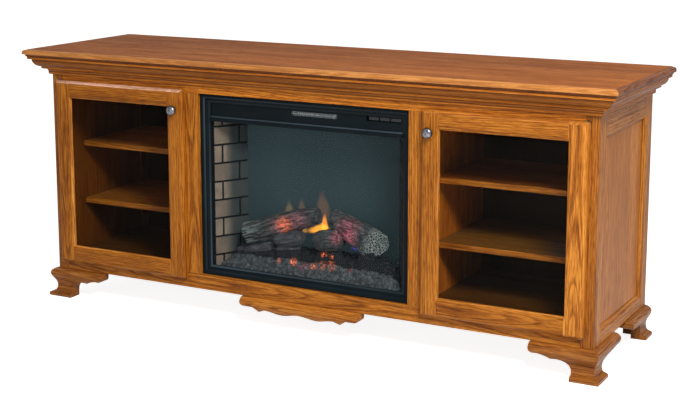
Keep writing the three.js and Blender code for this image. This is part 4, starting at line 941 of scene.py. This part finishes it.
def wood_pieces():
    """Every oak piece, with its own board and grain direction."""
    for node, axes in GRAINS.items():
        board_piece(node, axes)
    for side in SIDES:
        for name, axes in SIDE_GRAINS.items():
            board_piece(name.format(side), axes)
    for side in SIDES:
        side_frame(side)
        for level in ("lower", "upper"):
            shelf(f"shelf_{level}_{side}")
        for end in ("front", "rear"):
            foot(f"{end}_foot_{side}", -1 if side == "left" else 1)


def board_piece(node, axes):
    """A piece of one grain direction, with a finish of its own on some parts: painted highlights, painted
    shade, darker ends or a rear face.
    """
    width = by_start(BOARD_WIDTHS, node, None)
    extra = by_start(BOARD_FINISHES, node, {})
    finishes = [oak(node + "_oak", node, axes, board_width=width, figured=node in FIGURED, **extra)]
    cuts = ()
    choose = None
    if node == "back_panel":
        # The back panel's faces inside the cupboards are painted nearly black as in shade; its rear face
        # keeps a tone of its own.
        finishes.append(oak(node + "_rear_oak", node, axes, tone=BACK_TONE, board_width=width))
        choose = rear_of(node)
    elif node.startswith("side_panel"):
        # Its faces inside the cupboard get painted shade.
        finishes.append(oak(node + "_inside_oak", node, axes, tone=INSIDE_SHADE_TONE, board_width=width))
        choose = inside_of(node)
    elif node == "top_board":
        # A painted highlight on the front edge; darker ends, and painted shade in the cove below the edge.
        finishes.append(oak(node + "_edge_oak", node, "xzy", tone=TOP_EDGE_HIGHLIGHT_TONE, contrast=0.5, **GLOSSY_HIGHLIGHT_FINISH))
        finishes.append(oak(node + "_end_oak", node, "yzx", tone=TOP_END_GRAIN_AND_SHADE_TONE))
        choose = border_of_top
    elif "_door_" in node:
        side = node.split("_")[0]
        # Painted highlights on the top edge and round the glass.
        finishes.append(oak(node + "_top_oak", node, axes, tone=DOOR_TOP_HIGHLIGHT_TONES[side], **GLOSSY_HIGHLIGHT_FINISH))
        finishes.append(oak(node + "_ring_oak", node, axes, tone=DOOR_RING_HIGHLIGHT_TONE, **GLOSSY_HIGHLIGHT_FINISH))
        cuts = ring_cuts(side)
        choose = rubbed_part_of_door(side)
    eased(node, EDGE, finishes, cuts, choose)


def rear_of(node):
    """A choice of 1 for the rear face of a piece, and 0 for the rest."""
    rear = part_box(node)[1].y
    return lambda point: int(point.y > rear - FACE_LAYER)


def inside_of(node):
    """A choice of 1 for the faces of a side piece that look into the cupboard, which get painted shade, and
    0 for the rest. The pins of a panel reach further in than its face, so there the outer face is the
    measure."""
    low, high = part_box(node)
    if node.startswith("side_panel"):
        outer = max(abs(low.x), abs(high.x))
        return lambda point: int(abs(point.x) < outer - FACE_LAYER)
    inner = min(abs(low.x), abs(high.x))
    return lambda point: int(abs(point.x) < inner + INNER_LAYER)


def border_of_top(point):
    """A choice of 1 for the front edge of the top, which gets a painted highlight, and 2 for its darker
    ends and for the cove below the edge, which gets painted shade.
    """
    low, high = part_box("top_board")
    at_end = abs(point.x) > high.x - TOP_BORDER
    in_front = point.y < low.y + TOP_BORDER
    in_cove = in_front and point.z < low.z + TOP_COVE
    return 2 if at_end or in_cove else int(in_front)


def door_ring(side):
    """The outer corners of the narrow ring round a door's glass, as (x, z)."""
    stiles = [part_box(f"{side}_door_{name}_stile") for name in ("outer", "inner")]
    left, right = sorted(stiles, key=lambda box: box[0].x)
    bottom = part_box(side + "_door_bottom_rail")[1].z
    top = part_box(side + "_door_top_rail")[0].z
    return (left[1].x - DOOR_RING, bottom - DOOR_RING), (right[0].x + DOOR_RING, top + DOOR_RING)


def ring_cuts(side):
    """The planes that bound the ring round a door's glass."""
    upright = [(Vector((x, 0, 0)), Vector((1, 0, 0))) for x, z in door_ring(side)]
    level = [(Vector((0, 0, z)), Vector((0, 0, 1))) for x, z in door_ring(side)]
    return upright + level


def rubbed_part_of_door(side):
    """A choice of 1 for a door's rounded top edge and 2 for the ring round its glass, both with painted
    highlights, and 0 for the rest.
    """
    low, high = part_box(side + "_door_top_rail")
    (ring_left, ring_bottom), (ring_right, ring_top) = door_ring(side)

    def choose(point):
        if point.y >= low.y + DOOR_ROUND:
            return 0
        if high.z - point.z < DOOR_ROUND:
            return 1
        return 2 if ring_left < point.x < ring_right and ring_bottom < point.z < ring_top else 0

    return choose


def shelf(node):
    """A shelf, with its front edge painted lighter where light falls on it."""
    face = oak(node + "_oak", node, "xyz", board_width=by_start(BOARD_WIDTHS, node, None))
    lit_edge = oak(node + "_edge_oak", node, "xzy", tone=SHELF_EDGE_LIGHT_TONE)
    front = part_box(node)[0].y
    eased(node, EDGE, [face, lit_edge], choose=lambda point: int(point.y < front + FACE_LAYER))


def side_frame(side):
    """A side frame: upright stiles, and rails that run front to back between them."""
    node = "side_frame_" + side
    recess_low, recess_high = (Vector(corner) for corner in OPENING["side_recess_" + side])
    cuts = [(Vector((0, y, 0)), Vector((0, 1, 0))) for y in (recess_low.y, recess_high.y)]
    stile = oak(node + "_stile_oak", node, "zyx")
    rail = oak(node + "_rail_oak", node, "yzx")
    # The faces that look into the cupboard get painted shade.
    inside_shade = oak(node + "_inside_oak", node, "zyx", tone=INSIDE_SHADE_TONE)
    inside = inside_of(node)

    def choose(point):
        return 2 if inside(point) else int(recess_low.y < point.y < recess_high.y)

    eased(node, EDGE, [stile, rail, inside_shade], cuts, choose)


def foot(node, sign):
    """A bracket foot, mitred at its corner: the grain runs along each face."""
    low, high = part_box(node)
    corner = Vector((high.x if sign > 0 else low.x, low.y, 0))
    across = Vector((sign, 1, 0)).normalized()
    front = oak(node + "_front_oak", node, "xzy", figured=True)
    flank = oak(node + "_side_oak", node, "yzx", figured=True)

    def choose(point):
        return int((point - corner).dot(across) > 0)

    eased(node, EDGE, [front, flank], [(corner, across)], choose)


# Eased edges of sheet metal, brackets, panes and buttons, and the upper slope of the hood's lip, which gets
# a painted highlight: how far it lies behind the lip's front, and between which heights over its lower
# edge.
SHEET_EDGE = 0.9 * MM
BRACKET_EDGE = 0.3 * MM
PANE_EDGE = 0.3 * MM
BUTTON_EDGE = 0.5 * MM
LIP_SLOPE_REACH = 9.9 * MM
LIP_SLOPE_LOW = 11.6 * MM
LIP_SLOPE_HIGH = 15 * MM


def top_of_lip(point):
    """A choice of 1 for the upper side of the hood's lip, which gets a painted highlight, and 0 for the
    rest.
    """
    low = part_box("hood")[0]
    in_height = low.z + LIP_SLOPE_LOW < point.z < low.z + LIP_SLOPE_HIGH
    return int(in_height and point.y < low.y + LIP_SLOPE_REACH)


def metal_pieces():
    """The insert's steel, mesh and moving parts, and the hinges and knobs of the doors."""
    black = black_steel("black_steel", BLACK_STEEL)
    highlight = black_steel("highlight_black_steel", HIGHLIGHT_STEEL)
    trim = black_steel("trim_steel", BLACK_STEEL, TRIM_HIGHLIGHT_RINGS)
    # The eased edges of the trim frame and housing, and the top of the hood's lip, get painted highlights.
    eased("trim_frame", SHEET_EDGE, [trim, highlight], edge_material=1)
    eased("housing", SHEET_EDGE, [black, highlight], edge_material=1)
    eased("hood", SHEET_EDGE, [black, highlight], choose=top_of_lip)
    pewter = metal("pewter")
    hinge = metal("hinge_steel")
    zinc = metal("zinc_steel")
    for side in SIDES:
        eased(side + "_door_knob", 0, [pewter], smooth_deg=KNOB_SMOOTH_DEG)
        for end in ("upper", "lower"):
            eased(f"{end}_pivot_{side}", BRACKET_EDGE, [hinge])
    eased("mesh_grille", 0, [metal("mesh_steel")])
    for node in ("blower_wheel", "flicker_rod"):
        eased(node, 0, [zinc])
    button = grey_plastic()
    for name in ("power", "flame", "heat"):
        eased(name + "_button", BUTTON_EDGE, [button])


def panes():
    """The glass of the doors and of the fire."""
    door_glass = glass("door_glass", DOOR_GLASS_TONE)
    for side in SIDES:
        eased(side + "_door_glass", PANE_EDGE, [door_glass])
    eased("fire_glass", PANE_EDGE, [glass("fire_glass", FIRE_GLASS_TONE)])


def long_axis(node):
    """The ends of a CAD piece's longest direction through its middle, from left to right."""
    points = np.array([vertex.co for vertex in frame["nodes"][node].data.vertices])
    middle = points.mean(axis=0)
    direction = np.linalg.svd(points - middle, full_matrices=False)[2][0]
    reach = (points - middle) @ direction
    ends = [Vector(middle + direction * reach.min()), Vector(middle + direction * reach.max())]
    return sorted(ends, key=lambda end: end.x)


# The relief of bark and coals: the size of the dense mesh's cells, and depths and counts in a metre.
BARK_VOXEL = 1.6 * MM
BARK_DEPTH = 2.8 * MM
BARK_FINE_DEPTH = 0.3 * MM
BARK_DEEPEST = 1.6 * BARK_DEPTH
RIDGES_AROUND, RIDGES_ALONG = 95, 14
PLATES_AROUND, PLATES_ALONG = 60, 26
BARK_FINE_GRAIN = 420
BED_VOXEL = 2.2 * MM
COAL_DEPTH = 4.6 * MM
COAL_LEAN = 2.2 * MM
COAL_FINE_DEPTH = 0.8 * MM
COALS_ACROSS = 88
COAL_FINE_GRAIN = 240
LEAN_SEED = 7.3
FLAT_BOTTOM = 4 * MM
LINING_EDGE = 0.6 * MM
SCREEN_EDGE = 0.4 * MM


def bark(start, end):
    """A change that sinks grooves along a log into its surface, and cracks round it."""
    run = (end - start).normalized()

    def change(point, normal):
        along = (point - start).dot(run)
        around = (point - start) - run * along
        grain = noise.fractal(around * RIDGES_AROUND + run * along * RIDGES_ALONG, 0.8, 2.1, 4)
        plate = noise.voronoi(around * PLATES_AROUND + run * along * PLATES_ALONG)[0]
        gap = min(1.0, (plate[1] - plate[0]) * 3.5)
        fine = noise.noise(point * BARK_FINE_GRAIN)
        depth = BARK_DEPTH * (0.25 - 0.5 * grain + 0.4 * (1 - gap)) - BARK_FINE_DEPTH * fine
        return point - normal * min(max(depth, 0), BARK_DEEPEST)

    return change


def coals(point, normal):
    """Sinks the gaps between the coals into the fire bed and tilts each coal its own way."""
    plate, seeds = noise.voronoi(point * COALS_ACROSS)
    gap = min(1.0, (plate[1] - plate[0]) * 2.6)
    lean = noise.noise(Vector(seeds[0]) * LEAN_SEED)
    fine = noise.fractal(point * COAL_FINE_GRAIN, 0.9, 2.0, 3)
    depth = COAL_DEPTH * (1 - gap) + COAL_LEAN * (0.5 + lean) + COAL_FINE_DEPTH * fine
    above = max(abs(normal.z), 0.35) if point.z > FLOOR_Z + FLAT_BOTTOM else 0.0
    return point - normal * max(depth, 0) * above


def fire():
    """Logs, coals, brick linings and the screen with its flames."""
    for node in LOG_GLOWS:
        start, end = long_axis(node)
        piece = rough_surface(node, BARK_VOXEL, bark(start, end))
        carry(piece, node, [charred(node, start, end)])
    carry(rough_surface("ember_bed", BED_VOXEL, coals), "ember_bed", [embers()])
    for side in SIDES:
        eased("brick_lining_" + side, LINING_EDGE, [brick(side)])
    eased("flame_screen", SCREEN_EDGE, [smoke_screen()])


# The pale floor, and the light: each lamp's place and size in metres and its power in watts.
FLOOR_SIZE = 30.0
FLOOR_TONE = (0.9, 0.9, 0.9)
FLOOR_WHITE = 0.88
GLOSSY_SHARE = 0.5
AMBIENT = 0.24
AIM = Vector((0, 0, 0.4))
LAMPS = [
    ("key", (2.1, -2.1, 2.7), 1.0, 122),
    ("fill", (-1.2, -3.8, 1.4), 1.6, 9),
]


def seen_share(paint):
    """How much of the white background a ray sees: all for the camera and through glass, part in gloss."""
    path = paint.node("LightPath").outputs
    direct = paint.math("MAXIMUM", path["Is Camera Ray"], path["Is Transmission Ray"])
    return paint.math("MAXIMUM", direct, paint.times(path["Is Glossy Ray"], GLOSSY_SHARE))


def pale_floor():
    """A floor that is white to the camera and still takes the stand's shadow."""
    paint = Paint("pale_floor")
    matt = paint.add("BsdfDiffuse", {"Color": FLOOR_TONE})
    strength = paint.times(seen_share(paint), FLOOR_WHITE)
    white = paint.add("Emission", {"Color": WHITE, "Strength": strength})
    shape = bmesh.new()
    bmesh.ops.create_grid(shape, x_segments=1, y_segments=1, size=FLOOR_SIZE / 2)
    floor = new_piece("floor", shape)
    floor.data.materials.append(paint.shade(paint.add("AddShader", {0: matt, 1: white})))


def studio_light():
    """A white surrounding that lights the stand softly, and two round lamps."""
    world = bpy.data.worlds.new("studio")
    bpy.context.scene.world = world
    sky = Paint(world)
    ambient = sky.add("Background", {"Color": WHITE, "Strength": AMBIENT})
    white = sky.add("Background", {"Color": WHITE, "Strength": 1.0})
    sky.node("OutputWorld", {"Surface": sky.add("MixShader", {0: seen_share(sky), 1: ambient, 2: white})})
    for name, place, size, power in LAMPS:
        lamp = bpy.data.lights.new(name, "AREA")
        lamp.shape = "DISK"
        lamp.size = size
        lamp.energy = power
        holder = bpy.data.objects.new(name, lamp)
        holder.location = place
        holder.rotation_euler = (AIM - Vector(place)).to_track_quat("-Z", "Y").to_euler()
        bpy.context.scene.collection.objects.link(holder)


def camera():
    """The camera at the photograph's viewpoint."""
    lens = bpy.data.cameras.new("photo_camera")
    lens.sensor_width = SENSOR_WIDTH_MM
    lens.sensor_fit = "HORIZONTAL"
    lens.lens = FOCAL_LENGTH_PX * SENSOR_WIDTH_MM / PHOTO_WIDTH_PX
    lens.shift_y = SHIFT_SHARE
    lens.clip_end = CLIP_END
    holder = bpy.data.objects.new("photo_camera", lens)
    holder.location = CAMERA_PLACE
    holder.rotation_euler = (math.radians(90 - CAMERA_PITCH_DEG), 0, math.radians(CAMERA_YAW_DEG))
    bpy.context.scene.collection.objects.link(holder)
    bpy.context.scene.camera = holder


bpy.context.scene.view_settings.view_transform = "Standard"
camera()
pale_floor()
studio_light()
wood_pieces()
metal_pieces()
panes()
fire()
